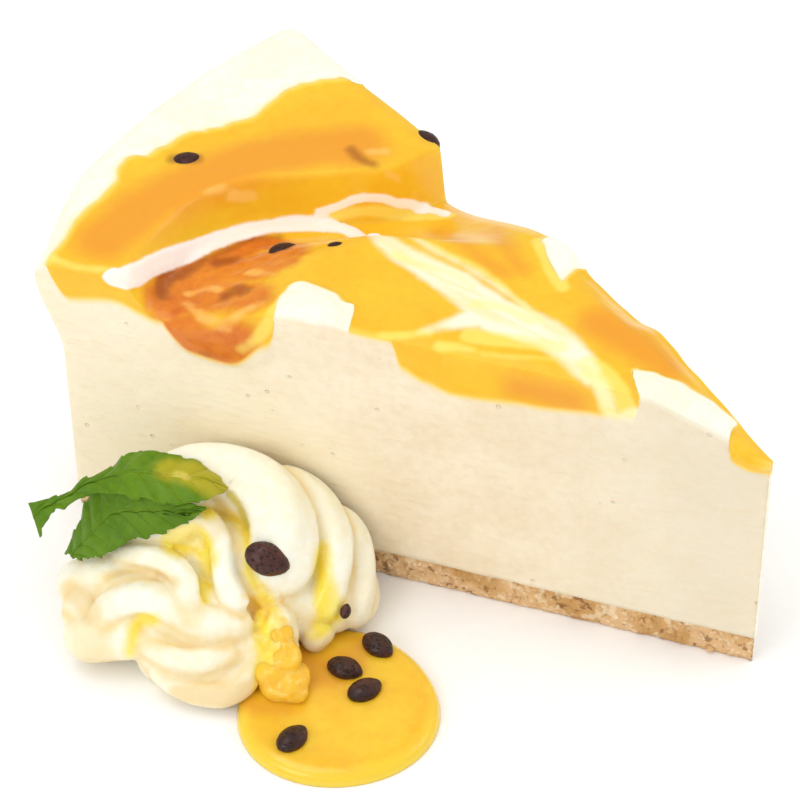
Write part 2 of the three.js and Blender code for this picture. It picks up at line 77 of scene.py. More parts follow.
# The lattices that the slice and its base are shaped from, and the base's crumbs

SLICE_LATTICE = (230, 116, 70)
CUT_CROWDING = 0.35
WALL_CROWDING = 0.3
LATTICE_STEPS = 600
TOP_SHARE = 0.9999
BASE_SIDES = 760
BASE_ROWS = 14
CRUMB_RELIEF = 0.95
CRUMB_SIZES = (1.9, 0.9, 0.6)
CRUMB_SHARES = (0.55, 0.3, 0.15)
CRUMB_SINK = 0.85
GRAIN_COUNT = 260
GRAIN_RADIUS = (0.3, 0.75)
GRAIN_STRETCH = (0.7, 1.2)
GRAIN_SUNK = (-0.6, -0.25)
GRAIN_MARGINS = (0.7, 0.6)
GRAIN_DRAW = 7

# The step in the top, the trough below it, and how far the far edge droops

STEP_MIDDLE = 92.5
STEP_SWING = 12.5
STEP_CENTRE = 0.585
STEP_BLEND = 0.205
WALL_RUN = (6, 2)
STEP_FLARE = 0.9
STEP_FLARE_FROM = 0.8
TROUGH_FLAT = (8, 1)
TROUGH_LENGTH = (27, 30)
TROUGH_DEPTH = (6, 10.5)
TROUGH_FAR_FROM = 0.6
FAR_DROOP = [
    (0, 0.9), (11, 1.1), (17, 1.8), (21, 2.3), (24, 1.7), (27.5, 1.2), (32, 2.2), (36, 1.9), (42, 1.2),
    (46, 0.4), (49, 0),
]
FAR_DROOP_REACH = 5

# The glaze: its underside along each cut, where BARE means none, and its edge by the rim

BARE = 70
GLAZE_THICKNESS = 5.2
CUT_BLEND = 8
GLAZE_BACK_RISE = 4
GLAZE_BACK_EDGE = 0.6
GLAZE_FLOOR = 0.3
GLAZE_UNDER_NEAR = [
    (0, 42), (7, 43.5), (10, BARE), (19, BARE), (22.5, 46.9), (27, 46.4), (40, 45), (51, 43.9), (55, 45.2),
    (58.8, 47), (60.6, 52.2), (67.2, 52.3), (68.7, BARE), (77, BARE), (80, 46), (86.5, 40.4), (93, 41),
    (98.5, 45.5), (106, 47.8), (115, 46.2), (123, 46.2),
]
GLAZE_UNDER_FAR = [
    (0, 42), (12, 44), (30, 46.5), (44, 47), (45.2, 55), (53, 55), (54.5, 47), (68, 39), (79, 37.5),
    (86, 45), (96, 48), (123, 48),
]
GLAZE_BACK = [
    (0, 116), (0.08, 115.3), (0.14, 115.6), (0.18, 115.3), (0.25, 114.4), (0.3, 114.5), (0.36, 116.1),
    (0.39, 116.3), (0.405, 115.5), (0.42, 113.5), (0.45, 113.3), (0.48, 112.4), (0.52, 112.3),
    (0.55, 111.8), (0.575, 110.2), (0.62, 108.3), (0.69, 106.4), (0.74, 106.9), (0.82, 107.4),
    (0.86, 106.9), (0.91, 105.6), (0.96, 104), (1, 101.2),
]
TIP_BARE = [
    (7.5, -0.2), (8.5, 0.98), (12.2, 0.84), (16.7, 0.63), (20.9, 0.48), (23.6, 0.38), (25, 0.33), (26.5, 0),
    (27.5, -0.2),
]
TIP_BARE_ACROSS = 0.33
TIP_BARE_SKEW = 14
TIP_BARE_SKEWED = (8, 20)
TIP_BARE_EDGE = 0.05

# Marks on the glaze: half width at the start, at the end, then places on the top or down the near cut

RIBBONS = [
    (1.9, 1.2, [
        (105.2, 0), (104.1, 0.006), (102.9, 0.044), (102.2, 0.106), (101.4, 0.168), (100.6, 0.222),
        (99.4, 0.29), (98, 0.354), (96.2, 0.408), (93.3, 0.48), (90.1, 0.548), (86.4, 0.606),
        (83.2, 0.628), (79, 0.61), (75, 0.545),
    ]),
    (0.8, 0.9, [
        (88.6, 0.606), (87.9, 0.62), (86.3, 0.654), (84.7, 0.692), (83.2, 0.73), (81.9, 0.768),
        (80.6, 0.812), (79.7, 0.864), (78.6, 0.912), (75.9, 0.93),
    ]),
]
RIBBON_RISE = 0.8
RIBBON_FULL_HALF = 1.5
LUMP_RISE = 0.45
LARGE_LUMP = 4.2
SMALL_LUMP = 1.9
LUMP_MEAN = 0.4
LUMPS_AT_CUT = (43, 48)
BARE_RISE = 0.7
BARE_DEPTH = 1.2
LIP_DROP = 0.4

BARE_PATCHES = [
    (3.0, 3.0, [(76.3, 0.02), (76.3, 0.08), (71.5, 0.07), (71.1, 0.02)]),
    (2.2, 2.2, [(77, 0.12), (72.5, 0.11)]),
    (0.4, 3.6, [(44.5, 0.8), (46.8, 0.9), (49.3, 1.0)]),
]
CREAM_SWIRLS = [
    (0.8, 2.2, [(83, 0.625), (79, 0.6), (75, 0.55), (70, 0.485), (65, 0.471)]),
    (2.2, 3.6, [(65, 0.471), (58.3, 0.451), (51.7, 0.391), (47.5, 0.345)]),
    (3.8, 1.6, [(47.5, 0.345), (43.4, 0.35), (38.6, 0.34), (33.8, 0.24), (29.6, 0.07)]),
    (1.2, 1.2, [(29.6, 0.08), (28, 0.02), (26.5, 0, 49), (25.5, 0, 45)]),
    (0.4, 2.4, [(56.5, 0.07), (54.5, 0.13), (52.4, 0.2), (50, 0.3)]),
    (0.4, 0.5, [(73.3, 0.62), (66, 0.575), (58.3, 0.565), (50.5, 0.53), (42.8, 0.46), (38, 0.39)]),
    (1.3, 1.6, [(25.8, 0, 46.4), (23.6, 0, 47), (21.6, 0, 48.2)]),
]
LEMON_SWIRLS = [
    (1.0, 1.4, [(30, 0.08), (28, 0.03), (26.5, 0, 48.5), (25.5, 0, 46)]),
    (1.0, 1.1, [
        (87.8, 0.612), (87.2, 0.626), (85, 0.672), (83, 0.72), (81.1, 0.774), (79.4, 0.834), (75, 0.93),
    ]),
    (0.6, 0.6, [(70.9, 0.602), (63.1, 0.585), (55.9, 0.59), (48.7, 0.531), (41.6, 0.441)]),
    (1.0, 0.6, [(67.9, 0.461), (64.3, 0.461), (58.9, 0.491), (54.1, 0.471)]),
    (1.6, 1.4, [(49.3, 0.14), (45.2, 0.17), (40.4, 0.22), (36.2, 0.27)]),
    (1.5, 1.6, [(31, 0.2), (27.5, 0.13), (25.4, 0.04), (23.5, 0, 49.5)]),
    (1.2, 1.2, [(53.5, 0.93), (48.7, 0.85), (43.4, 0.76)]),
    (1.2, 1.0, [(51.7, 0.371), (47.5, 0.411), (42.8, 0.401)]),
    (0.7, 0.5, [(116, 0.02), (112, 0.01), (106, 0.02)]),
    (1.3, 0.9, [(84.5, 0, 44.8), (81.8, 0, 47.4), (80.2, 0, 50.4), (79.4, 0.03)]),
    (0.9, 0.6, [(52.9, 0.02), (50.5, 0.04), (48.1, 0.05)]),
    (0.7, 0.9, [(62, 0.01), (59, 0.03), (55.5, 0.08)]),
    (0.4, 0.5, [(46.3, 0.04), (41, 0.07), (35, 0.15)]),
]
AMBER_SWIRLS = [
    (5.0, 5.0, [(110, 0.12), (107, 0.3), (102, 0.5), (96.5, 0.65), (90, 0.8)]),
    (1.3, 1.0, [(62.5, 0.9), (56.5, 0.79), (51, 0.72)]),
    (1.2, 1.2, [(72, 0.82), (60, 0.67), (53, 0.64)]),
    (3.5, 3.5, [(33.8, 0.65), (26, 0.62), (21.2, 0.67)]),
    (2.6, 2.8, [(40, 0, 48.6), (36, 0, 48.6), (32, 0, 48.4)]),
]
PULP_PATCHES = [
    (3.2, 2.2, [(91, 0.25), (87.5, 0.225), (84.5, 0.235), (82.8, 0.27)]),
    (2.2, 1.8, [(87, 0.34), (84.5, 0.33), (82.5, 0.33)]),
    (2.8, 2.6, [(96.5, 0.22), (95, 0.29), (93.5, 0.354), (91.7, 0.408), (86.5, 0.41)]),
    (4.6, 3.6, [(98.5, 0.15), (94, 0.24), (90, 0.29), (86.5, 0.32), (84.5, 0.33)]),
    (5.2, 3.5, [(97, 0.08), (92, 0.12), (87.5, 0.1), (84, 0.08)]),
    (5.2, 3.6, [(93.5, 0, 43.8), (88, 0, 44), (85, 0, 46.5)]),
]
PEACH_SWIRLS = [
    (0.7, 0.9, [(95.5, 0.07), (92.5, 0.03), (89.5, 0, 48.6), (86.5, 0, 48.8), (84.5, 0.02), (82.5, 0.05)]),
    (0.9, 0.7, [(96, 0.12), (93.5, 0.15), (91.5, 0.14)]),
    (0.8, 0.6, [(88.5, 0.24), (86, 0.22), (83.5, 0.2)]),
    (0.5, 0.6, [(101.5, 0.385), (100, 0.42)]),
    (0.8, 0.6, [(98.6, 0.44), (96.6, 0.48)]),
    (0.9, 0.9, [(87, 0.812), (85.8, 0.842)]),
    (0.5, 0.4, [(82.2, 0.79), (81.3, 0.82)]),
]
# Dark reddish flecks in the glaze: partly dark pulp, partly painted shadow in the hollow under the ribbon
DARK_PULP_AND_SHADOW_SPOTS = [
    (1.0, 0.8, [(89.7, 0.775), (87.2, 0.765), (84.6, 0.775)]),
    (1.5, 1.2, [(100.4, 0.15), (100.4, 0.11), (99.6, 0.08)]),
    (0.9, 0.6, [(99.2, 0.17), (98.2, 0.222), (97, 0.29), (95.6, 0.354), (93.8, 0.408), (91, 0.47)]),
    (1.2, 0.9, [(95.5, 0.27), (93.5, 0.31)]),
    (1.5, 1.1, [(89.5, 0.11), (88.5, 0.14), (86.5, 0.12)]),
    (1.2, 0.9, [(88.5, 0.43), (87.5, 0.4)]),
    (1.0, 0.8, [(90.5, 0, 42), (87, 0, 43)]),
    (1.2, 1.2, [(110.4, 0.447), (107.8, 0.482)]),
]
# Painted light on the near cut round the cream: a warm lift over the shade the cream casts there
CREAM_PAINTED_BOUNCE = [(13, 11, [(100, 0, 18), (88, 0, 25), (76, 0, 22)])]
GLAZE_MARKS = {
    "ribbon": RIBBONS, "cream": CREAM_SWIRLS, "lemon": LEMON_SWIRLS, "amber": AMBER_SWIRLS,
    "peach": PEACH_SWIRLS, "dark_pulp_and_shadow": DARK_PULP_AND_SHADOW_SPOTS, "painted_cream_bounce": CREAM_PAINTED_BOUNCE,
}

# Drops of glaze over the near cut: place along it, height, half width and half height

DRIPS = [(88.5, 45, 9, 5.6), (4, 45, 3.6, 3)]
DRIP_DEPTH = 1.3

# Seeds in the glaze: distance from the cake's middle, place across, turn, how far sunk and size

SEED_SIZE = (6, 4.2, 2.8)
SEED_FACES = (28, 18)
SEED_TAPER = 0.28
SEED_PITS = (12.6, 8.82, 6.3)
SEED_PIT_DEPTH = 0.035
GLAZE_SEEDS = [
    (109.1, 0.468, 54, 1.35, 1.0), (84.5, 0.992, 163, 1.5, 1.0), (86.9, 0.388, 40, 1.1, 0.9),
    (77.3, 0.4, 25, 1.15, 0.62),
]

# The pool of sauce, and each seed's place along the near cut, out from it, and turn

POOL_CENTRE = (27.3, -44.8)
POOL_RADIUS = 15.7
POOL_HEIGHT = 2.2
POOL_SIDES = 120
POOL_RINGS = (0.97, 0.93, 0.88, 0.82, 0.74, 0.64, 0.52, 0.38, 0.22, 0.08)
POOL_EDGE_FROM = 0.8
POOL_SEED_RISE = 0.5
POOL_SEEDS = [(57.6, 16.7, -10), (61, 22.8, 12), (56.6, 26.1, 66), (64, 38.8, 84)]
# Deeper orange where the sauce lies thick, with painted shade beside the cream and round the seeds
POOL_THICK_AND_SHADED = [
    (3.4, 2.4, [(69.5, 22.5, 2.4), (65, 24.5, 2.4), (61.5, 22, 2.4), (60, 17.5, 2.4)]),
    (1.4, 1.6, [(76, 34.5, 2.4), (71.2, 34, 2.4), (66.5, 33, 2.4)]),
]

# The piped cream: half width, then places beside the slice

FOLDS = [
    (9, [(97, 14, 7), (87, 13, 10.5), (78, 14, 9), (72, 13, 5)]),
    (7.2, [(98, 22.5, 5.5), (88, 24, 7), (76, 23.5, 4.5)]),
    (4.6, [(93, 28, 3.5), (87, 29.6, 3.7), (80, 29.6, 3.6), (76, 27, 4)]),
    (5.5, [(76, 13, 8.5), (72, 16.5, 6), (70.5, 20.5, 3.5)]),
    (5, [(102, 15, 11), (97, 14.5, 17), (90.5, 14.5, 19.5), (86, 14.5, 18)]),
    (5.5, [
        (96, 12.5, 19), (91.5, 9, 21.5), (86, 7, 22), (79, 8, 21.5), (75, 11.5, 18.5), (74, 15, 15),
        (75, 18, 10.5),
    ]),
    (2.8, [
        (80, 4, 21), (74.5, 3.6, 20), (71, 4.5, 18), (68, 7, 15.5), (66.5, 11, 12.5), (66.5, 15, 9),
        (67.5, 18, 6),
    ]),
    (2.6, [
        (71, 3.6, 15.5), (67, 3.8, 13.5), (64.8, 5, 10.5), (63.4, 8, 7.5), (62.8, 12, 5.3), (63.5, 15, 3),
    ]),
    (2.7, [(71, 3.8, 5), (67, 4, 4.6), (64, 6, 3.9), (62.9, 9.5, 3), (63.4, 12.8, 2.8)]),
    (2.3, [(65.5, 16.5, 5.5), (67, 19, 4), (68.5, 21, 3)]),
    (2.1, [
        (101, 22.5, 10.5), (99.5, 20.5, 12), (97.5, 20.5, 14), (94, 21, 15.5), (91, 21.5, 16),
        (88.5, 22.5, 16), (86.5, 24, 15.5), (85.5, 26, 14), (84.5, 27, 12.5), (83.5, 28, 11),
    ]),
    (2.8, [
        (98, 32, 5.5), (98, 30.5, 7.5), (97.5, 29, 10), (95.5, 27.5, 11.5), (92.5, 27, 13),
        (89.5, 27, 13), (86.5, 27.3, 11.8), (82.5, 27.5, 11), (78.5, 26.2, 10.2), (75, 24.5, 9.6),
    ]),
    (2.2, [
        (88.5, 15.5, 20.5), (86.5, 15.5, 20.8), (84, 16.5, 19.3), (82.3, 18.5, 17.5), (81, 21, 16),
        (79.5, 23, 14.5), (77, 24, 12),
    ]),
    (2.2, [
        (92, 29.5, 9), (91, 30.5, 7.5), (88.5, 32, 6.8), (85, 32.5, 6.8), (81, 32, 7.3), (78, 29.5, 7),
        (76, 27.5, 8),
    ]),
    (2.2, [
        (89, 32.5, 5), (86.8, 33.6, 4.1), (83.5, 34.5, 3.2), (80, 34.6, 2.9), (76.5, 33.6, 3),
        (74.8, 31.5, 3.7), (74.3, 29, 5), (75, 27.5, 7),
    ]),
    (4.2, [(95, 20.5, 11), (100.5, 22.5, 9.5), (104.5, 23, 7.5), (108.3, 24.3, 5.7)]),
    (4.2, [(90, 28.5, 7), (94.5, 29.6, 6.3), (99.5, 30.8, 5.5), (104.2, 32, 4.4)]),
    (4.2, [(102.5, 22, 7.5), (102, 27, 6.5), (100, 31, 5)]),
    (3.4, [(101, 24, 8), (95.5, 24.5, 11), (89, 25, 12.5)]),
    (2.6, [(97, 29.5, 6.5), (92, 30, 6.5), (87.5, 30.5, 6.5)]),
    (3.2, [(74, 20.5, 11), (71.5, 24, 7.5), (71, 29, 3.8)]),
    (3, [(79, 27, 6.5), (75, 27, 6.5), (71.5, 27.5, 5)]),
    (2.8, [(67, 10, 8.5), (65.5, 14, 5.5), (65, 17, 3.5)]),
    (2.8, [(70.5, 5.5, 14), (68, 8, 11.5), (67, 11, 8.5), (67, 14, 6)]),
]
FOLD_STEPS = 48
FOLD_FACES = (30, 44)
FOLD_TWIST = 1.7
FLUTE = 0.05
CREAM_VOXEL = 0.38
CREAM_UNEVEN = 0.14
CREAM_UNEVEN_SIZE = 3.2
SPRINKLED_UNEVEN = 1.1
SPRINKLED_UNEVEN_SIZE = 2.6
CUT_CLEAR = 0.3
FLOOR_CLEAR = 0.02
GROOVE_WIDTH = 1.6
CREAM_SHADE_HEIGHTS = (1, 15)
LEAF_CLEAR = 0.35
LEAF_CLEAR_REACH = 5
LEAF_CLEAR_LEVEL = 9
CREAM_SEEDS = [((74.7, 18.8, 19.0), 0.75, -24, 1.25), ((63, 16.3, 8.4), 0.6, 75, 0.42)]
SAUCE_RUNS = [
    (2.6, 1.5, [(89.5, 19.5, 19), (87, 19, 20), (85.5, 18.5, 18), (83.5, 20.5, 18)]),
    (1.8, 0.7, [(85.5, 18, 18), (84.5, 20, 16.5), (84, 21.5, 14.5), (83, 25, 13.5)]),
    (1.3, 0.9, [(85.5, 15.5, 23), (84.5, 12.5, 19.5), (82, 12.5, 19), (79.5, 15, 19)]),
    (0.8, 0.9, [(79.5, 15.5, 18.5), (78.5, 17.5, 18), (77.5, 19.5, 16), (75.5, 21, 14)]),
    (1.1, 1.8, [(75.5, 21, 14.5), (73.5, 22.5, 12.5), (72, 24, 11.5), (70.5, 25, 10.5)]),
    (1.4, 2.4, [(68.5, 11, 15), (67.5, 14, 13), (66, 16.5, 11.5), (65, 17.5, 9)]),
    (2.2, 1.2, [(65, 17, 10), (65.5, 19, 7.5), (67, 20.5, 6)]),
    (1.0, 0.8, [(90, 29.5, 11.5), (92, 29.5, 10.5), (92.5, 32, 9.5), (92.5, 33.5, 7)]),
    (0.9, 0.7, [(74, 21.5, 12.5), (73, 25, 11), (72.5, 27.5, 9), (72.5, 30, 6.5), (72.5, 31.5, 3)]),
    (1.6, 3.0, [(74, 22.5, 12.5), (73, 25, 11), (71.5, 27, 8.8), (68.8, 28.8, 4.5)]),
]
# Painted shade along the creases between ropes and under the lower lobes of the cream
FOLD_SHADE_RUNS = [
    (0.6, 0.7, [(99, 25, 13), (96.5, 24, 14), (93, 24, 15), (90.5, 24, 15), (87.5, 25.5, 16.5)]),
    (0.5, 0.6, [(87, 30.5, 10), (84.5, 31, 9), (82, 30.5, 9), (79, 29.5, 9), (75.5, 28, 10)]),
    (0.5, 0.6, [(86, 35.5, 5.5), (82, 35, 5), (79, 34, 5), (77, 32.5, 6.5), (76, 30, 8.5)]),
    (1.6, 2.0, [(105.5, 26.5, 10), (102.5, 28, 10), (100, 29.5, 9.5)]),
    (1.6, 2.0, [(83.5, 36.5, 4), (77.5, 36, 4.5), (73.5, 33, 4)]),
]
SPRINKLED = [(3.5, 4.5, [(74, 22.5, 12.5), (72, 25, 11), (70, 27, 8.8), (68.8, 28.8, 4.5)])]
OLIVE_RUNS = [(0.8, 0.7, [(83, 12, 24), (81.5, 12, 22), (80, 14, 20)])]
CREAM_MARKS = {"sauce": SAUCE_RUNS, "painted_fold_shade": FOLD_SHADE_RUNS, "olive": OLIVE_RUNS, "fruit": SPRINKLED}
MARK_DEPTH = 0.35

# The run of pulp: along the near cut, out from it, height and length of each juice sac

PULP_RUNS = [
    (68.7, 29.5, 3.2, 4.5), (70.2, 28.4, 5.2, 3.8), (67.4, 28.6, 4.2, 3.6), (69.6, 26.4, 7.2, 3.6),
    (71.2, 24.6, 9.2, 2.8),
]
SAC_FACES = (16, 12)
PULP_VOXEL = 0.28
PULP_UNEVEN = 0.35
SAC_TURN = 47

# The mint leaves: their two edges from the tip

LEAVES = {
    "mint_leaf_upper": {
        "far": [
            (83.4, 11.9, 25.5), (87.8, 10.1, 27.5), (93.9, 10.6, 28.5), (99.5, 11.4, 28), (102.5, 13.9, 26),
            (106, 16.7, 24.5), (108.3, 19.4, 23.5), (111, 20.4, 22.5), (113.6, 21.1, 21.5),
        ],
        "near": [
            (83.3, 12.3, 25.5), (84.8, 16.1, 26.5), (88.3, 18.8, 27), (94.7, 19.5, 27), (100.3, 18.9, 25.5),
            (104, 19.1, 24.5), (106.6, 21.1, 23.5), (108.9, 22.1, 22), (110.7, 24.2, 18),
        ],
    },
    "mint_leaf_lower": {
        "far": [
            (85.4, 16.5, 25), (89, 17.3, 25.5), (93.8, 17.7, 25.5), (99.4, 16.8, 25), (104.5, 16, 22.5),
            (106.4, 18.8, 17), (108.1, 21.5, 12),
        ],
        "near": [
            (85.2, 16.9, 25), (87.7, 18.1, 22.5), (91.6, 20.1, 20.5), (96.5, 21.5, 18.5), (99, 23, 17),
            (102.1, 23.2, 15), (105.1, 22.8, 13),
        ],
    },
}

LEAF_LATTICE = (110, 36)
LEAF_LINE_STEPS = 120
LEAF_THICKNESS = 0.45
LEAF_VEINS = 9
LEAF_VEIN_SLANT = 0.9
LEAF_TEETH = 11
LEAF_TOOTH = 0.6
LEAF_VAULT = 0.12
LEAF_SWELL = 0.35
LEAF_CURL = 0.5
LEAF_MARKS = {
    "glazed": [(3.5, 2.5, [(84, 12.5, 26), (88, 13, 27.5), (92, 13.5, 28)])],
    # A drop of sauce on the upper leaf, painted pale as its highlight
    "drop": [(0.8, 0.8, [(90.8, 14.4, 27.8), (89.6, 14.5, 27.8)])],
}

# The camera

CAMERA_AIM = (7.51, -0.15, 20)
CAMERA_AZIMUTH = 35.85
CAMERA_ELEVATION = 44.2
CAMERA_DISTANCE = 550
CAMERA_ROLL = -0.78
CAMERA_VIEW = 13.4

# The floor, in metres

FLOOR_HALF = 4
FLOOR_DROP = 0.0001

# The light: each softbox's name, place, size and power

LIGHT_AIM = (0, 0, 20)
ROOM_LIGHT = 0.9
ROOM_GLOSS = 0.35
SOFTBOXES = [
    ("key", (-120, -120, 650), 420, 0.7),
    ("fill", (-50, -620, 420), 400, 0.85),
    ("back", (450, 380, 420), 400, 0.6),
]


# Lines and distances


def blend(low, high, share):
    return low + (high - low) * share


def smooth(value, low, high):
    share = np.clip((value - low) / (high - low), 0, 1)
    return share * share * (3 - 2 * share)


def through(knots, x):
    """Value at x on the smooth line through the knots."""
    table = np.array(knots, float)
    x = np.clip(x, table[0, 0], table[-1, 0])
    after = np.clip(np.searchsorted(table[:, 0], x), 1, len(table) - 1)
    (x0, y0), (x1, y1) = table[after - 1].T, table[after].T
    return blend(y0, y1, smooth(x, x0, x1))


def run_lengths(line):
    """Distance run from the start of a line to each of its points."""
    steps = np.linalg.norm(np.diff(line, axis=0), axis=1)
    return np.concatenate([[0], np.cumsum(steps)])


def at_shares(line, shares, lengths):
    """Points of a line at the given shares of its lengths."""
    return np.stack([np.interp(shares, lengths, line[:, k]) for k in range(3)], axis=1)


def smooth_path(points, count):
    """Points evenly along the centripetal spline through the given ones."""
    p = np.array(points, float)
    p = np.vstack([2 * p[0] - p[1], p, 2 * p[-1] - p[-2]])
    knot = np.concatenate([[0], np.cumsum(np.linalg.norm(np.diff(p, axis=0), axis=1) ** 0.5)])
    t = np.linspace(knot[1], knot[-2], SPLINE_STEPS)
    i = np.clip(np.searchsorted(knot, t, side="right") - 1, 1, len(p) - 3)

    def between(a, b, ka, kb):
        share = ((t - knot[ka]) / (knot[kb] - knot[ka]))[:, None]
        return a + (b - a) * share

    a1 = between(p[i - 1], p[i], i - 1, i)
    a2 = between(p[i], p[i + 1], i, i + 1)
    a3 = between(p[i + 1], p[i + 2], i + 1, i + 2)
    b1 = between(a1, a2, i - 1, i + 1)
    b2 = between(a2, a3, i, i + 2)
    line = between(b1, b2, i, i + 1)
    lengths = run_lengths(line)
    return at_shares(line, np.linspace(0, lengths[-1], count), lengths)


def beside_slice(along, out, height):
    """Point beside the slice: distance along the near cut, out from it, and height."""
    x = APEX_X - along * math.cos(HALF_ANGLE) + out * math.sin(HALF_ANGLE)
    y = -along * math.sin(HALF_ANGLE) - out * math.cos(HALF_ANGLE)
    return np.array([x, y, height], float)


def on_slice(radius, across):
    angle = (across - 0.5) * SLICE_ANGLE
    return APEX_X - radius * np.cos(angle), radius * np.sin(angle)


def spot(place):
    """Point of a mark: (distance from the cake's middle, place across), or a place beside the slice."""
    if len(place) == 3:
        return beside_slice(*place)
    x, y = on_slice(*place)
    return np.array([x, y, top_height(*place)])


def mark_line(path):
    """Line through a mark's places; one that stays on the top follows its rises and falls."""
    if any(len(place) == 3 for place in path):
        return smooth_path([spot(place) for place in path], 6 * len(path))
    full_width = CAKE_RADIUS * SLICE_ANGLE
    flat = smooth_path([(radius, across * full_width, 0) for radius, across in path], 10 * len(path))
    radius, across = flat[:, 0], flat[:, 1] / full_width
    x, y = on_slice(radius, across)
    return np.stack([x, y, top_height(radius, across)], axis=1)


def inside_band(points, start, end, line):
    """How far inside a band along the line each point lies; its half width runs from start to end."""
    inside = np.full(len(points), OUTSIDE)
    for i in range(len(line) - 1):
        a, b = line[i], line[i + 1]
        ahead = b - a
        share = np.clip((points - a) @ ahead / max(ahead @ ahead, TINY), 0, 1)
        apart = np.linalg.norm(points - a - share[:, None] * ahead, axis=1)
        half = blend(start, end, (i + share) / (len(line) - 1))
        inside = np.maximum(inside, half - apart)
    return inside


def inside_any(points, bands):
    return np.max([inside_band(points, start, end, mark_line(path)) for start, end, path in bands], axis=0)


def noise_shift(seed):
    return Vector((seed * 7.1, seed * 3.3, seed * 5.7))


def wander(points, size, seed=0):
    """Smooth unevenness from about -1 to 1, with bumps of the given size in mm."""
    shift = noise_shift(seed)
    return np.array([noise.noise(Vector(p) / size + shift) for p in points])


def wander_each_way(points, size, seed=0):
    return np.stack([wander(points, size, seed + k) for k in range(3)], axis=1)


def grains(points, size, seed=0):
    """Rounded lumps of the given size in mm: 1 on a lump, 0 between them."""
    shift = noise_shift(seed)
    near = np.array([noise.voronoi(Vector(p) / size + shift)[0][0] for p in points])
    return np.clip(1 - 1.4 * near**2, 0, 1)


# The slice's top


def unevenness(x, y, size):
    waves = np.sin((x * 1.7 + y * 0.9 + 4) / size) * np.cos((y * 1.3) / size)
    swirls = np.sin((1 - x * 0.6) / size + 2 * np.sin(y / size / 2.3))
    return (waves + swirls) / 2


def rim_lean(across):
    return blend(RIM_LEAN_NEAR, RIM_LEAN_FAR, smooth(across, 0, RIM_LEAN_FULL))


def step_brink(across):
    swing = STEP_SWING * np.tanh((across - STEP_CENTRE) / STEP_BLEND)
    return STEP_MIDDLE - swing + STEP_FLARE * smooth(across, STEP_FLARE_FROM, 1)


def from_cuts(radius, across):
    """Distances of places on the slice from its near cut and from its far cut."""
    return across * SLICE_ANGLE * radius, (1 - across) * SLICE_ANGLE * radius


def top_height(radius, across):
    tip_fall = TIP_FALL * (1 - smooth(radius, 0, TIP_FALL_RADIUS))
    past = step_brink(across) - radius
    far = smooth(across, TROUGH_FAR_FROM, 1)
    recovery = smooth(past, blend(*TROUGH_FLAT, far), blend(*TROUGH_LENGTH, far))
    trough = blend(*TROUGH_DEPTH, across) * smooth(past, 0, blend(*WALL_RUN, across)) * (1 - recovery)
    short = RIM_ROUND - np.clip(CAKE_RADIUS + rim_lean(across) - radius, 0, RIM_ROUND)
    rim_fall = RIM_ROUND - np.sqrt(RIM_ROUND**2 - short**2)
    from_near, from_far = from_cuts(radius, across)
    cut_fall = CUT_ROUND * (1 - smooth(np.minimum(from_near, from_far), *CUT_ROUND_SPAN))
    droop = through(FAR_DROOP, radius) * (1 - smooth(from_far, 0, FAR_DROOP_REACH))
    uneven = TOP_UNEVEN * unevenness(*on_slice(radius, across), TOP_UNEVEN_SIZE)
    return TOP_HEIGHT - tip_fall - trough - rim_fall - cut_fall - droop + uneven


def glaze_under(radius, across):
    """Height of the glaze's underside: its lines on the two cuts, blended inwards."""
    from_near, from_far = from_cuts(radius, across)
    inner = top_height(radius, across) - GLAZE_THICKNESS
    near = blend(through(GLAZE_UNDER_NEAR, radius), inner, smooth(from_near, 0, CUT_BLEND))
    both = blend(through(GLAZE_UNDER_FAR, radius), near, smooth(from_far, 0, CUT_BLEND))
    back = through(GLAZE_BACK, across)
    rise = smooth(radius, back - GLAZE_BACK_RISE / 3, back + GLAZE_BACK_RISE)
    return blend(both, BARE, rise)


def inside_tip_patch(radius, across):
    """How far inside the bare patch by the tip each point lies, in mm."""
    turned = TIP_BARE_SKEW * smooth(radius, *TIP_BARE_SKEWED) * np.maximum(0, TIP_BARE_ACROSS - across)
    return (through(TIP_BARE, radius + turned) - across - TIP_BARE_EDGE) * SLICE_ANGLE * radius


# Meshes


def points_of(mesh):
    flat = np.empty(len(mesh.vertices) * 3)
    mesh.vertices.foreach_get("co", flat)
    return flat.reshape(-1, 3)


def move_points(mesh, points):
    mesh.vertices.foreach_set("co", np.asarray(points, float).ravel())
    mesh.update()


def moved_out(points, distance):
    """Points moved straight out from the near cut by the given distances."""
    return points + np.multiply.outer(distance, NEAR_OUTWARD)


def mark(mesh, name, values):
    """Stores a value at each point of the mesh, for its material to read."""
    layer = mesh.attributes.new(name, "FLOAT", "POINT")
    layer.data.foreach_set("value", np.asarray(values, float))


def finished_mesh(bm, name):
    bmesh.ops.recalc_face_normals(bm, faces=bm.faces)
    mesh = bpy.data.meshes.new(name)
    bm.to_mesh(mesh)
    bm.free()
    return mesh


def add_piece(name, mesh, finish, instead_of=()):
    """Puts a mesh in millimetres into the scene as a piece of the serving."""
    move_points(mesh, points_of(mesh) * MM)
    mesh.shade_smooth()
    mesh.materials.append(finish)
    piece = bpy.data.objects.new(name, mesh)
    bpy.context.scene.collection.objects.link(piece)
    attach(piece, "root")
    if instead_of:
        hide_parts(*instead_of)


def corners_of(geometry):
    return [part for part in geometry if isinstance(part, bmesh.types.BMVert)]


def close_down(bm):
    """Extrudes a flat sheet at height 1 down to height 0."""
    lowered = bmesh.ops.extrude_face_region(bm, geom=bm.faces[:])["geom"]
    bmesh.ops.translate(bm, vec=(0, 0, -1), verts=corners_of(lowered))


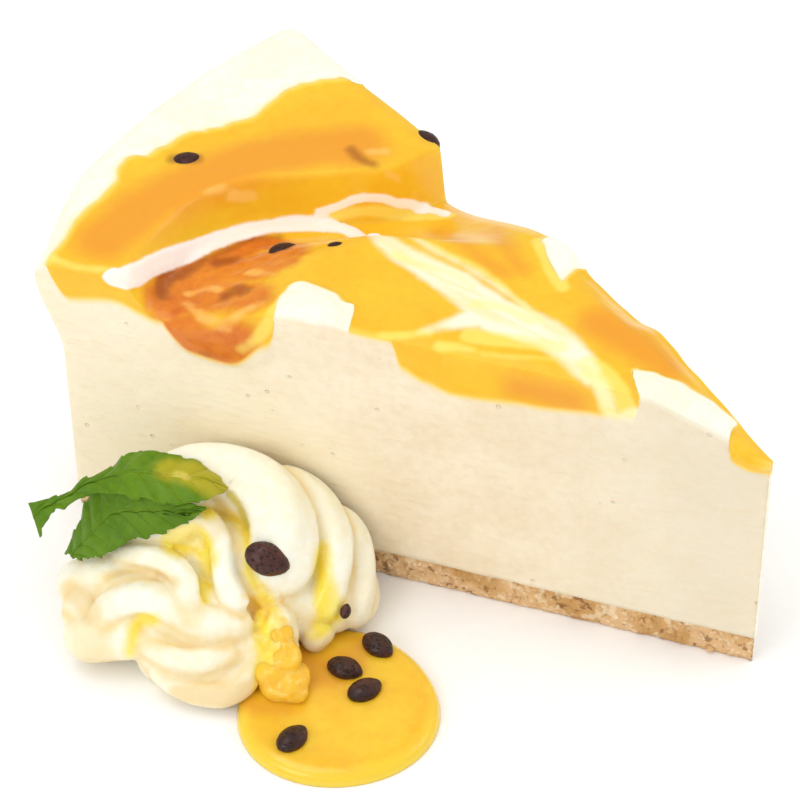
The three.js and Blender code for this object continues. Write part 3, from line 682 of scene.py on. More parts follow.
def raised(bm, rows):
    """Makes a flat sheet at height 1 a closed block, its upright sides divided into rows."""
    close_down(bm)
    uprights = [edge for edge in bm.edges if abs(edge.verts[0].co.z - edge.verts[1].co.z) > 0.5]
    bmesh.ops.subdivide_edges(bm, edges=uprights, cuts=rows - 1, use_grid_fill=True)


def disc(sides):
    """A flat round face at height 1."""
    bm = bmesh.new()
    bmesh.ops.create_circle(bm, cap_ends=True, segments=sides, radius=1)
    bmesh.ops.translate(bm, vec=(0, 0, 1), verts=bm.verts)
    return bm


def ball(bm, faces, radius):
    around, upward = faces
    made = bmesh.ops.create_uvsphere(bm, u_segments=around, v_segments=upward, radius=radius)
    return made["verts"]


def block(along, across, rows):
    """Box from 0 to 1 each way with a lattice on its top and sides."""
    bm = bmesh.new()
    bmesh.ops.create_grid(bm, x_segments=along, y_segments=across, size=0.5)
    bmesh.ops.translate(bm, vec=(0.5, 0.5, 1), verts=bm.verts)
    raised(bm, rows)
    underside = [face for face in bm.faces if max(vert.co.z for vert in face.verts) < TINY]
    bmesh.ops.dissolve_faces(bm, faces=underside, use_verts=True)
    return bm


def lattice_radius(inward, across):
    """Distance of lattice lines from the cake's middle, spread evenly over the top's rises and falls."""
    radius = np.empty(len(inward))
    column = np.round(across, 5)
    for place in np.unique(column):
        here = column == place
        line = np.linspace(CAKE_RADIUS + rim_lean(place), TIP_RADIUS, LATTICE_STEPS)
        run = np.hypot(np.diff(line), np.diff(top_height(line, place)))
        length = np.concatenate([[0], np.cumsum(run)])
        radius[here] = np.interp(inward[here] * length[-1], length, line)
    return radius


def cheesecake_mesh():
    """Filling and glaze in one skin, with the marks that its finish reads."""
    mesh = finished_mesh(block(*SLICE_LATTICE), "cheesecake")
    u, v, w = points_of(mesh).T
    across = blend(v, (1 - np.cos(math.pi * v)) / 2, CUT_CROWDING)
    radius = lattice_radius(blend(u, u**1.5, WALL_CROWDING), across)
    top = top_height(radius, across)
    at_wall = smooth(radius, WALL_INNER, CAKE_RADIUS)
    upright = rim_lean(across) * at_wall * (1 - smooth(w, LEAN_LEVEL, 1))
    x, y = on_slice(radius - upright, across)
    points = np.stack([x, y, blend(BASE_HEIGHT + BASE_GAP, top, w)], axis=1)
    on_top = w > TOP_SHARE
    on_near = (v < TINY) & ~on_top
    on_far = (v > 1 - TINY) & ~on_top
    bare = np.maximum(inside_any(points, BARE_PATCHES), inside_tip_patch(radius, across))
    bare = np.where(points[:, 2] > top - BARE_DEPTH, bare, OUTSIDE)
    glaze = glaze_depth(points[:, 2], radius, across, on_top)
    glaze[w < GLAZE_FLOOR] = OUTSIDE
    glaze = np.minimum(glaze, -2.0 * bare)
    pulp = inside_any(points, PULP_PATCHES)
    lump = pulp_lumps(points, pulp)
    ribbon = np.max([ribbon_rise(points, band) for band in RIBBONS], axis=0)
    points[:, 2] += on_top * (ribbon + lump + glaze_lip(glaze, bare))
    bulge = drip_bulge(radius, points[:, 2]) + 0.5 * lump * smooth(points[:, 2], *LUMPS_AT_CUT)
    uneven = CUT_UNEVEN * wander(points, CUT_UNEVEN_SIZE)
    points = moved_out(points, np.where(on_near, bulge + uneven, 0))
    move_points(mesh, points)
    mark(mesh, "glaze", glaze)
    mark(mesh, "pulp", pulp)
    mark(mesh, "cut", on_near | on_far)
    mark(mesh, "along", np.clip(radius / CAKE_RADIUS, 0, 1))
    for name, bands in GLAZE_MARKS.items():
        mark(mesh, name, inside_any(points, bands))
    return mesh


def glaze_depth(height, radius, across, on_top):
    """How far inside the glaze each point lies; its edge by the rim is a line on the top."""
    depth = np.clip(height - glaze_under(radius, across), OUTSIDE, -OUTSIDE)
    back = through(GLAZE_BACK, across) + GLAZE_BACK_EDGE - radius
    return np.where(on_top & (radius > WALL_INNER), np.minimum(back, GLAZE_THICKNESS), depth)


def pulp_lumps(points, pulp):
    """Rise of the juice sacs under the glaze, large ones and small ones."""
    large = grains(points, LARGE_LUMP, 5) - LUMP_MEAN
    small = grains(points, SMALL_LUMP, 6) - LUMP_MEAN
    return LUMP_RISE * (large * smooth(pulp, -0.5, 2.5) + 0.4 * small * smooth(pulp, -0.5, 1.5))


def ribbon_rise(points, ribbon):
    half = min(ribbon[:2])
    share = np.clip(inside_any(points, [ribbon]) / half, 0, 1)
    return RIBBON_RISE * min(1, half / RIBBON_FULL_HALF) * np.sqrt(1 - (1 - share) ** 2)


def glaze_lip(glaze, bare):
    """The bare filling stands a little above the glaze, and its patches swell."""
    return -LIP_DROP * smooth(glaze, -0.5, 2) + BARE_RISE * smooth(bare, 0, 2.5)


def drip_bulge(along, height):
    bulge = np.zeros(len(along))
    for middle, level, long, high in DRIPS:
        away = ((along - middle) / long) ** 2 + ((height - level) / high) ** 2
        bulge = np.maximum(bulge, DRIP_DEPTH * np.sqrt(np.clip(1 - away, 0, 1)))
    return bulge


def base_outline(share):
    """Point and outward direction on the biscuit base's outline, share 0 to 1 round it."""
    arc = CAKE_RADIUS * SLICE_ANGLE
    side = CAKE_RADIUS - TIP_RADIUS
    run = share * (2 * side + arc)
    near, far = run < side, (run >= side) & (run < 2 * side)
    back = (run - 2 * side) / arc
    radius = np.where(near, CAKE_RADIUS - run, np.where(far, TIP_RADIUS + run - side, CAKE_RADIUS))
    across = np.where(near, 0.0, np.where(far, 1.0, 1 - back))
    angle = (across - 0.5) * SLICE_ANGLE
    outward = np.where(near, HALF_ANGLE - math.pi / 2, math.pi / 2 - HALF_ANGLE)
    outward = np.where(near | far, outward, math.pi - angle)
    x, y = on_slice(radius, across)
    return x, y, np.cos(outward), np.sin(outward)


def biscuit_mesh():
    bm = disc(BASE_SIDES)
    raised(bm, BASE_ROWS)
    mesh = finished_mesh(bm, "crumb_base")
    x, y, level = points_of(mesh).T
    share = (np.arctan2(y, x) / (2 * math.pi)) % 1
    x, y, out_x, out_y = base_outline(share)
    points = np.stack([x, y, level * BASE_HEIGHT], axis=1)
    large, small, dust = CRUMB_SIZES
    layers = [grains(points, large), grains(points, small, 2), wander(points, dust, 3)]
    crumbs = sum(share * layer for share, layer in zip(CRUMB_SHARES, layers))
    belly = 1 - (2 * level - 1) ** 4
    move = CRUMB_RELIEF * (crumbs * (0.4 + 0.6 * belly) - CRUMB_SINK)
    points[:, 0] += out_x * move
    points[:, 1] += out_y * move
    move_points(mesh, points)
    return mesh


def biscuit_grain_mesh():
    """Loose grains caught on the base's sides."""
    chance = np.random.default_rng(GRAIN_DRAW)
    bm = bmesh.new()
    share = chance.random(GRAIN_COUNT)
    x, y, out_x, out_y = base_outline(share)
    lowest, margin = GRAIN_MARGINS
    for i in range(GRAIN_COUNT):
        grain = bmesh.ops.create_icosphere(bm, subdivisions=1, radius=chance.uniform(*GRAIN_RADIUS))["verts"]
        stretch = chance.uniform(*GRAIN_STRETCH, 3)
        bmesh.ops.scale(bm, verts=grain, vec=stretch)
        height = chance.uniform(lowest, BASE_HEIGHT - margin)
        sunk = chance.uniform(*GRAIN_SUNK)
        place = (x[i] + out_x[i] * sunk, y[i] + out_y[i] * sunk, height)
        turn = Matrix.Rotation(chance.uniform(0, 6), 3, "Z")
        bmesh.ops.rotate(bm, verts=grain, cent=(0, 0, 0), matrix=turn)
        bmesh.ops.translate(bm, verts=grain, vec=place)
    return finished_mesh(bm, "biscuit_grains")


def add_seed(bm, at, turn, tilt=0.0, spin=0.0, size=1.0):
    """A flattened, finely pitted drop: it spins in its own plane, tilts, then turns."""
    verts = ball(bm, SEED_FACES, 0.5)
    long, wide, thick = (side * size for side in SEED_SIZE)
    place = Matrix.Translation(at) @ Matrix.Rotation(math.radians(turn), 4, "Z")
    place = place @ Matrix.Rotation(tilt, 4, "X") @ Matrix.Rotation(math.radians(spin), 4, "Z")
    for vert in verts:
        z, x, y = vert.co
        narrow = 1 - SEED_TAPER * max(0, 2 * x) ** 2
        cell = Vector((x * SEED_PITS[0], y * SEED_PITS[1], z * SEED_PITS[2])) + Vector(at)
        pits = 1 - SEED_PIT_DEPTH * (1 - noise.voronoi(cell)[0][0])
        vert.co = place @ Vector((x * long * pits, y * wide * narrow * pits, z * thick * pits))


def seeds_mesh():
    bm = bmesh.new()
    for radius, across, turn, sunk, size in GLAZE_SEEDS:
        x, y = on_slice(radius, across)
        add_seed(bm, (x, y, top_height(radius, across) - sunk), turn, size=size)
    for along, out, turn in POOL_SEEDS:
        add_seed(bm, tuple(beside_slice(along, out, POOL_HEIGHT + POOL_SEED_RISE)), turn)
    for place, tilt, spin, size in CREAM_SEEDS:
        add_seed(bm, tuple(beside_slice(*place)), CAMERA_AZIMUTH, tilt, spin, size)
    return finished_mesh(bm, "fruit_seeds")


def add_sac(bm, at, turn, long):
    """A juice sac: a soft drop with a drawn-out end."""
    verts = ball(bm, SAC_FACES, 1)
    place = Matrix.Translation(at) @ Matrix.Rotation(math.radians(turn), 4, "Z")
    for vert in verts:
        z, x, y = vert.co
        swell = 0.7 - 0.16 * x + 0.06 * noise.noise(Vector((x, y, z)) * 1.5 + Vector(at))
        vert.co = place @ Vector((x * long, y * long * swell, z * long * swell * 0.8))


def pulp_mesh():
    """A run of juice sacs from the cream down to the pool, melted together."""
    bm = bmesh.new()
    for i, (along, out, up, size) in enumerate(PULP_RUNS):
        add_sac(bm, tuple(beside_slice(along, out, up)), SAC_TURN * i, size)
    mesh = softened(remeshed(finished_mesh(bm, "sacs"), PULP_VOXEL), "fruit_pulp", 4)
    points = points_of(mesh)
    move_points(mesh, points + PULP_UNEVEN * lumpy(points))
    return mesh


def pool_mesh():
    """A low disc with a rounded, slightly wandering edge."""
    bm = disc(POOL_SIDES)
    for ring in POOL_RINGS:
        inner = max(bm.faces, key=lambda face: len(face.verts))
        moved = bmesh.ops.extrude_face_region(bm, geom=[inner])["geom"]
        bmesh.ops.delete(bm, geom=[inner], context="FACES_ONLY")
        for vert in corners_of(moved):
            flat = vert.co.xy.normalized() * ring
            vert.co = (flat.x, flat.y, 1)
    close_down(bm)
    mesh = finished_mesh(bm, "sauce_pool")
    x, y, level = points_of(mesh).T
    share = np.hypot(x, y)
    angle = np.arctan2(y, x)
    radius = POOL_RADIUS + 0.7 * np.cos(angle - 5.1) + 0.35 * np.sin(3 * angle + 1)
    past = np.clip((share - POOL_EDGE_FROM) / (1 - POOL_EDGE_FROM), 0, 1)
    rounded = np.sqrt(1 - past**2.6)
    height = POOL_HEIGHT * (0.12 + 0.88 * rounded) * (1 + 0.04 * (1 - share))
    points = np.stack([POOL_CENTRE[0] + x * radius, POOL_CENTRE[1] + y * radius, level * height], axis=1)
    points[:, 2] += level * 0.1 * wander(points, 7) * smooth(share, 1, POOL_EDGE_FROM)
    move_points(mesh, points)
    mark(mesh, "edge", (1 - share) * POOL_RADIUS)
    mark(mesh, "deep", inside_any(points, POOL_THICK_AND_SHADED))
    return mesh


def fold_line(path):
    return smooth_path([beside_slice(*place) for place in path], FOLD_STEPS)


def add_fold(bm, half, path, twist):
    """A round-ended rope of cream along the path, lightly fluted."""
    line = fold_line(path)
    ahead = np.gradient(line, axis=0)
    end = min(0.5, max(0.1, half / np.linalg.norm(np.diff(line, axis=0), axis=1).sum()))
    verts = ball(bm, FOLD_FACES, 1)
    for vert in verts:
        t = 1 - math.acos(max(-1, min(1, vert.co.z))) / math.pi
        at = t * (len(line) - 1)
        i = min(int(at), len(line) - 2)
        middle = Vector(line[i]).lerp(Vector(line[i + 1]), at - i)
        forward = Vector(ahead[i]).normalized()
        side = forward.cross(Vector((0, 0, 1))).normalized()
        rise = side.cross(forward)
        near = min(1, min(t, 1 - t) / end)
        share = math.sqrt(max(0, 1 - (1 - near) ** 2))
        turn = math.atan2(vert.co.y, vert.co.x)
        out = half * share * (1 + FLUTE * math.cos(5 * turn + twist + 2 * t))
        vert.co = middle + side * (math.cos(turn) * out) + rise * (math.sin(turn) * out)


def remeshed(mesh, voxel):
    """One closed skin round everything in the mesh."""
    holder = bpy.data.objects.new("remesh", mesh)
    bpy.context.scene.collection.objects.link(holder)
    skin = holder.modifiers.new("skin", "REMESH")
    skin.mode = "VOXEL"
    skin.voxel_size = voxel
    graph = bpy.context.evaluated_depsgraph_get()
    result = bpy.data.meshes.new_from_object(holder.evaluated_get(graph))
    bpy.data.objects.remove(holder)
    return result


def softened(mesh, name, rounds):
    """The mesh with its creases eased."""
    bm = bmesh.new()
    bm.from_mesh(mesh)
    every_way = {"use_axis_x": True, "use_axis_y": True, "use_axis_z": True}
    for _ in range(rounds):
        bmesh.ops.smooth_vert(bm, verts=bm.verts, factor=0.5, **every_way)
    return finished_mesh(bm, name)


def lumpy(points):
    """Small uneven shifts where fruit has run through the cream."""
    return wander_each_way(points, SPRINKLED_UNEVEN_SIZE, 4)


def cream_mesh(leaves):
    """Ropes of cream melted together, pressed flat against the near cut and down under the leaves."""
    bm = bmesh.new()
    for i, (half, path) in enumerate(FOLDS):
        add_fold(bm, half, path, FOLD_TWIST * i)
    mesh = softened(remeshed(finished_mesh(bm, "ropes"), CREAM_VOXEL), "whipped_cream", 2)
    points = points_of(mesh)
    points += CREAM_UNEVEN * wander_each_way(points, CREAM_UNEVEN_SIZE)
    sprinkled = smooth(inside_runs(points, SPRINKLED), 0, 2)
    points += SPRINKLED_UNEVEN * sprinkled[:, None] * lumpy(points)
    for leaf in leaves:
        points = tucked_under(points, leaf)
    out = (points - beside_slice(0, 0, 0)) @ NEAR_OUTWARD
    points = moved_out(points, np.maximum(CUT_CLEAR - out, 0))
    points[:, 2] = np.maximum(points[:, 2], FLOOR_CLEAR)
    move_points(mesh, points)
    for name, runs in CREAM_MARKS.items():
        mark(mesh, name, inside_runs(points, runs))
    # How low each point of the cream lies, for painted shade towards the bottom
    mark(mesh, "low", 1 - smooth(points[:, 2], *CREAM_SHADE_HEIGHTS))
    mark(mesh, "groove", groove_depth(points))
    return mesh


def inside_runs(points, runs):
    """How far inside the runs on the cream each point lies, reaching into its folds."""
    seen = flattened(points)
    bands = [inside_band(seen, start, end, flattened(mark_line(path))) for start, end, path in runs]
    return np.max(bands, axis=0)


def tucked_under(points, leaf):
    """Lowers the points of the cream that stand above a leaf to just behind it."""
    corners = [vert.co for vert in leaf.vertices]
    tree = BVHTree.FromPolygons(corners, [face.vertices[:] for face in leaf.polygons])
    moved = points.copy()
    for i, point in enumerate(points):
        if point[2] < LEAF_CLEAR_LEVEL:
            continue
        at, normal, _, _ = tree.find_nearest(Vector(point), LEAF_CLEAR_REACH)
        if at is None:
            continue
        normal = normal if normal.z > 0 else -normal
        away = Vector(point) - at
        rise = away.dot(normal)
        aside = (away - rise * normal).length
        push = max(0, rise + LEAF_CLEAR) * (1 - float(smooth(aside, 0.2, 1.4)))
        moved[i] = point - push * np.array(normal)
    return moved


def toward_camera():
    """Direction from the slice to the camera."""
    azimuth, elevation = math.radians(CAMERA_AZIMUTH), math.radians(CAMERA_ELEVATION)
    flat = math.cos(elevation)
    return np.array([math.sin(azimuth) * flat, -math.cos(azimuth) * flat, math.sin(elevation)])


def flattened(points):
    """Points with their depth, seen from the front, drawn together, so that a mark reaches into folds."""
    depth = np.asarray(points) @ toward_camera()
    return points - (1 - MARK_DEPTH) * np.multiply.outer(depth, toward_camera())


def groove_depth(points):
    """How close each point lies to the meeting of two ropes: 0 on a rope, 1 in the groove."""
    gaps = []
    for half, path in FOLDS:
        line = fold_line(path)[::3]
        gaps.append(np.min([np.linalg.norm(points - at, axis=1) for at in line], axis=0) - half)
    nearest = np.sort(np.array(gaps), axis=0)
    return 1 - smooth(nearest[1] - nearest[0], 0, GROOVE_WIDTH)


def leaf_edge(places, along):
    """Points on one edge of a leaf, at the given shares of its length."""
    line = smooth_path([beside_slice(*place) for place in places], LEAF_LINE_STEPS)
    return at_shares(line, along, np.linspace(0, 1, len(line)))


def leaf_tooth(along, across):
    """Height of the saw teeth along a leaf's edges, fading towards its middle."""
    saw = 1 - (along * LEAF_TEETH + 0.35 + 0.25 * np.sin(along * 23)) % 1
    uneven = 0.6 + 0.4 * np.sin(along * 37 + 9 * across)
    return LEAF_TOOTH * uneven * saw * smooth(np.abs(across - 0.5), 0.25, 0.5)


def leaf_sheet(name, edges):
    """The leaf's blade without its thickness."""
    bm = bmesh.new()
    bmesh.ops.create_grid(bm, x_segments=LEAF_LATTICE[0], y_segments=LEAF_LATTICE[1], size=0.5)
    bmesh.ops.translate(bm, vec=(0.5, 0.5, 0), verts=bm.verts)
    mesh = finished_mesh(bm, name)
    along, across, _ = points_of(mesh).T
    low, high = (leaf_edge(edges[side], along) for side in ("far", "near"))
    broad = np.linalg.norm(high - low, axis=1)
    blade = smooth(broad, 0.5, 3)
    margin = (leaf_tooth(along, across) - 0.2) / np.maximum(broad, 1)
    place = across + (2 * across - 1) * margin * blade
    points = low + (high - low) * place[:, None]
    middle = np.abs(across - 0.5) * 2
    vault = LEAF_VAULT * np.minimum(broad, 6) * np.sin(math.pi * across)
    swell = LEAF_SWELL * (side_vein(along, middle) - 0.5) * blade
    curl = LEAF_CURL * wander(points, 5) * blade
    midrib = LEAF_SWELL * blade * (1 - smooth(middle, 0, 0.12))
    points[:, 2] += vault + swell + curl - midrib
    move_points(mesh, points)
    mark(mesh, "along", along)
    mark(mesh, "middle", middle)
    for mark_name, bands in LEAF_MARKS.items():
        mark(mesh, mark_name, inside_any(points, bands))
    return mesh


def leaf_mesh(sheet):
    bm = bmesh.new()
    bm.from_mesh(sheet)
    bmesh.ops.recalc_face_normals(bm, faces=bm.faces)
    bmesh.ops.solidify(bm, geom=bm.faces[:], thickness=LEAF_THICKNESS)
    return finished_mesh(bm, sheet.name)


def side_vein(along, middle):
    """Swell of the leaf between its side veins, 0 on a vein."""
    return np.abs(np.sin(math.pi * (along * LEAF_VEINS + LEAF_VEIN_SLANT * middle)))


# Finishes


def shade(red, green, blue):
    """Colour from 0-255 display values."""
    parts = [value / 255 for value in (red, green, blue)]
    linear = [part / 12.92 if part < 0.04045 else ((part + 0.055) / 1.055) ** 2.4 for part in parts]
    return (*linear, 1)


def add_node(tree, kind, inputs=None, **settings):
    """A node with its settings, and its inputs set to values or linked to sockets."""
    node = tree.nodes.new(kind)
    for key, value in settings.items():
        setattr(node, key, value)
    for key, value in (inputs or {}).items():
        if isinstance(value, bpy.types.NodeSocket):
            tree.links.new(value, node.inputs[key])
        else:
            node.inputs[key].default_value = value
    return node


def calc(tree, operation, first, second=0.0, clamp=False):
    settings = {"operation": operation, "use_clamp": clamp}
    return add_node(tree, "ShaderNodeMath", {0: first, 1: second}, **settings).outputs[0]


def times(tree, first, second, clamp=False):
    return calc(tree, "MULTIPLY", first, second, clamp)


def ramp(tree, value, low, high, start=0.0, end=1.0):
    """Smooth change from start to end as the value passes from low to high."""
    ends = {"Value": value, "From Min": low, "From Max": high, "To Min": start, "To Max": end}
    return add_node(tree, "ShaderNodeMapRange", ends, interpolation_type="SMOOTHSTEP").outputs[0]


def mix(tree, share, first, second):
    """Colour the given share of the way from the first to the second."""
    return add_node(tree, "ShaderNodeMix", {0: share, 6: first, 7: second}, data_type="RGBA").outputs[2]


def tinted(tree, under, mask, share, tint):
    """The colour under a mask, taken the given share of the way to a tint."""
    return mix(tree, times(tree, mask, share), under, tint)


def marked(tree, name):
    return add_node(tree, "ShaderNodeAttribute", attribute_name=name).outputs["Fac"]


def speckle(tree, size, detail=2.0, stretch=(1, 1, 1), turn=0.0):
    """Noise with features of the given size in mm."""
    place = add_node(tree, "ShaderNodeTexCoord").outputs["Object"]
    turned = {"Vector": place, "Rotation": (0, 0, turn), "Scale": stretch}
    placed = add_node(tree, "ShaderNodeMapping", turned).outputs[0]
    inputs = {"Vector": placed, "Scale": 1 / (size * MM), "Detail": detail}
    return add_node(tree, "ShaderNodeTexNoise", inputs).outputs["Fac"]


def lumps(tree, size):
    """Distance from the middle of the nearest of many lumps of the given size in mm."""
    place = add_node(tree, "ShaderNodeTexCoord").outputs["Object"]
    inputs = {"Vector": place, "Scale": 1 / (size * MM)}
    return add_node(tree, "ShaderNodeTexVoronoi", inputs).outputs["Distance"]


def new_group(name, inputs, outputs):
    tree = bpy.data.node_groups.new(name, "ShaderNodeTree")
    for label, default in inputs.items():
        kind = "NodeSocketColor" if isinstance(default, tuple) else "NodeSocketFloat"
        tree.interface.new_socket(label, in_out="INPUT", socket_type=kind).default_value = default
    for label, kind in outputs.items():
        tree.interface.new_socket(label, in_out="OUTPUT", socket_type=kind)
    return tree, add_node(tree, "NodeGroupInput").outputs, add_node(tree, "NodeGroupOutput").inputs


def runny_edge_group():
    """Turns a distance inside a mark, in mm, into a mask with a soft, slightly wandering edge."""
    inputs = {"Inside": 0.0, "Softness": 0.3, "Wander": 1.0}
    tree, given, result = new_group("runny_edge", inputs, {"Mask": "NodeSocketFloat"})
    broad = calc(tree, "SUBTRACT", speckle(tree, 5), 0.5)
    fine = times(tree, calc(tree, "SUBTRACT", speckle(tree, 1.4), 0.5), 0.4)
    moved = times(tree, calc(tree, "ADD", broad, fine), given["Wander"])
    value = calc(tree, "ADD", given["Inside"], times(tree, moved, 2.4))
    low = times(tree, given["Softness"], -1.0)
    tree.links.new(ramp(tree, value, low, given["Softness"]), result["Mask"])
    return tree


def mottle_group():
    """Uneven colour: broad clouds and fine flecks between two shades."""
    inputs = {"Pale": (1, 1, 1, 1), "Deep": (0.8, 0.8, 0.8, 1), "Amount": 1.0}
    tree, given, result = new_group("mottle", inputs, {"Colour": "NodeSocketColor"})
    clouds = ramp(tree, speckle(tree, 11, 3), 0.35, 0.65)
    flecks = ramp(tree, speckle(tree, 1.6, 3), 0.35, 0.7)
    share = calc(tree, "ADD", times(tree, clouds, 0.6), times(tree, flecks, 0.4))
    share = times(tree, share, given["Amount"], clamp=True)
    tree.links.new(mix(tree, share, given["Pale"], given["Deep"]), result["Colour"])
    return tree


RUNNY_EDGE = runny_edge_group()
MOTTLE = mottle_group()


def edge(tree, inside, softness, wander_mm):
    inputs = {"Inside": inside, "Softness": softness, "Wander": wander_mm}
    return add_node(tree, "ShaderNodeGroup", inputs, node_tree=RUNNY_EDGE).outputs[0]


def marked_edge(tree, name, softness, wander_mm):
    return edge(tree, marked(tree, name), softness, wander_mm)


def mottled(tree, pale, deep):
    inputs = {"Pale": pale, "Deep": deep, "Amount": 1.0}
    return add_node(tree, "ShaderNodeGroup", inputs, node_tree=MOTTLE).outputs[0]


def new_finish(name, **sockets):
    """A material with its constant values set; returns it with its tree and shader."""
    material = bpy.data.materials.new(name)
    material.use_nodes = True
    tree = material.node_tree
    shader = tree.nodes["Principled BSDF"]
    for label, value in sockets.items():
        shader.inputs[label.replace("_", " ")].default_value = value
    return material, tree, shader


def soft(share, colours, reach):
    """Values for the share of light that scatters inside, and how far each colour reaches in mm."""
    return {"Subsurface_Weight": share, "Subsurface_Radius": colours, "Subsurface_Scale": reach * MM}


def relief(tree, shader, height, distance_mm):
    inputs = {"Height": height, "Distance": distance_mm * MM, "Strength": 1.0}
    bump = add_node(tree, "ShaderNodeBump", inputs)
    tree.links.new(bump.outputs[0], shader.inputs["Normal"])


def uneven_gloss(tree, shader, size, shiniest, dullest):
    """Roughness that wanders between two values over patches of the given size in mm."""
    rough = ramp(tree, speckle(tree, size), 0.3, 0.7, shiniest, dullest)
    tree.links.new(rough, shader.inputs["Roughness"])


def filling_colour(tree, at_cut, drag, pores):
    """White filling: a clean skin, and cuts with pores and the drag of the knife, with painted light and
    shade on the cut.
    """
    along = marked(tree, "along")
    skin = mottled(tree, shade(250, 247, 232), shade(246, 238, 212))
    skin = mix(tree, ramp(tree, marked(tree, "glaze"), -1.2, 0.0, 0.0, 0.55), skin, shade(252, 228, 150))
    cut = mottled(tree, shade(246, 232, 206), shade(236, 218, 186))
    # Painted light and shade along the cut: lighter towards the rim end, darker towards the tip
    cut = mix(tree, ramp(tree, along, 0.5, 1.0, 0.0, 0.5), cut, shade(253, 243, 216))
    cut = mix(tree, ramp(tree, along, 0.0, 0.45, 0.7, 0.0), cut, shade(226, 216, 192))
    # Painted light: the cut is lifted towards warm white round the cream, over its shade
    cut = mix(tree, ramp(tree, marked(tree, "painted_cream_bounce"), -9, 6, 0.0, 0.55), cut, shade(252, 238, 206))
    # The pores are tinted darker: painted shade in the pits
    filling = tinted(tree, mix(tree, at_cut, skin, cut), pores, 0.09, shade(206, 182, 130))
    scuffs = times(tree, ramp(tree, drag, 0.56, 0.72), at_cut)
    return tinted(tree, filling, scuffs, 0.18, shade(232, 210, 160))


def fruit_colour(tree, lemon):
    """Orange glaze: amber depths, red pulp, peach flecks, dark flecks that are partly painted shadow under
    the ribbon, and thin yellow rims.
    """
    orange = mottled(tree, shade(244, 196, 46), shade(242, 184, 38))
    orange = tinted(tree, orange, marked_edge(tree, "amber", 2.6, 0.8), 0.85, shade(235, 154, 42))
    pulp = mottled(tree, shade(232, 142, 44), shade(212, 110, 30))
    orange = mix(tree, marked_edge(tree, "pulp", 1.6, 1.0), orange, pulp)
    orange = tinted(tree, orange, marked_edge(tree, "peach", 0.6, 0.9), 0.7, shade(252, 198, 104))
    # Dark flecks, partly painted shadow under the ribbon
    orange = tinted(tree, orange, marked_edge(tree, "dark_pulp_and_shadow", 0.8, 0.6), 0.6, shade(132, 52, 22))
    orange = tinted(tree, orange, lemon, 0.8, shade(251, 224, 104))
    rim = ramp(tree, marked(tree, "glaze"), 0.1, 1.3, 1.0, 0.0)
    return tinted(tree, orange, rim, 0.75, shade(252, 218, 96))


def swirl_colour(tree, lemon):
    """Pale cream drawn through the glaze, streaked and yellowed by it."""
    streaks = ramp(tree, speckle(tree, 2.6, 3, (0.22, 1, 1)), 0.4, 0.66)
    pale = mix(tree, streaks, shade(250, 244, 218), shade(248, 234, 184))
    return tinted(tree, pale, lemon, 0.45, shade(248, 234, 120))


def cheesecake_finish():
    white = soft(0.25, (1.0, 0.62, 0.32), 2)
    material, tree, shader = new_finish(
        "filling_and_fruit_glaze", Specular_IOR_Level=0.28, Coat_Roughness=0.12, **white
    )
    at_cut = marked(tree, "cut")
    drag = speckle(tree, 1.3, 3, (0.3, 1, 1), HALF_ANGLE)
    pores = ramp(tree, lumps(tree, 3.2), 0.06, 0.14, 1.0, 0.0)
    pores = times(tree, pores, ramp(tree, speckle(tree, 9, 1), 0.5, 0.62))
    pores = times(tree, pores, at_cut)
    lemon = marked_edge(tree, "lemon", 0.55, 0.3)
    cream = marked_edge(tree, "cream", 0.9, 0.5)
    ribbon = marked_edge(tree, "ribbon", 0.3, 0.3)
    glazed = edge(tree, marked(tree, "glaze"), ramp(tree, at_cut, 0, 1, 0.4, 0.9), 0.3)
    marbled = tinted(tree, fruit_colour(tree, lemon), cream, 0.95, swirl_colour(tree, lemon))
    marbled = mix(tree, ribbon, marbled, mottled(tree, shade(255, 244, 236), shade(253, 240, 226)))
    colour = mix(tree, glazed, filling_colour(tree, at_cut, drag, pores), marbled)
    tree.links.new(colour, shader.inputs["Base Color"])
    matt = times(tree, calc(tree, "MAXIMUM", cream, ribbon), 0.7)
    wet = times(tree, glazed, calc(tree, "SUBTRACT", 1.0, matt))
    tree.links.new(ramp(tree, wet, 0, 1, 0.62, 0.3), shader.inputs["Roughness"])
    tree.links.new(times(tree, wet, 0.12), shader.inputs["Coat Weight"])
    grain = times(tree, calc(tree, "SUBTRACT", times(tree, drag, at_cut), pores), 0.5)
    ripple = times(tree, speckle(tree, 6, 2), 0.8)
    height = add_node(tree, "ShaderNodeMix", {0: glazed, 2: grain, 3: ripple}).outputs[0]
    relief(tree, shader, height, 0.5)
    return material


def biscuit_finish(name):
    material, tree, shader = new_finish(name, Roughness=0.85)
    crumbs = mottled(tree, shade(232, 190, 130), shade(186, 138, 76))
    crumbs = mix(tree, ramp(tree, speckle(tree, 8, 2), 0.46, 0.6, 0.0, 0.7), crumbs, shade(253, 222, 178))
    grain = ramp(tree, lumps(tree, 1.1), 0.15, 0.6)
    dark = ramp(tree, speckle(tree, 1.8, 2), 0.6, 0.67)
    pale = ramp(tree, speckle(tree, 2.2, 2, (1, 1, 1), 1.0), 0.58, 0.66)
    colour = tinted(tree, crumbs, grain, 0.45, shade(206, 152, 88))
    colour = tinted(tree, colour, dark, 0.7, shade(132, 84, 46))
    colour = tinted(tree, colour, pale, 0.5, shade(255, 236, 200))
    tree.links.new(colour, shader.inputs["Base Color"])
    relief(tree, shader, calc(tree, "ADD", speckle(tree, 0.5, 3), times(tree, grain, -0.6)), 0.35)
    return material


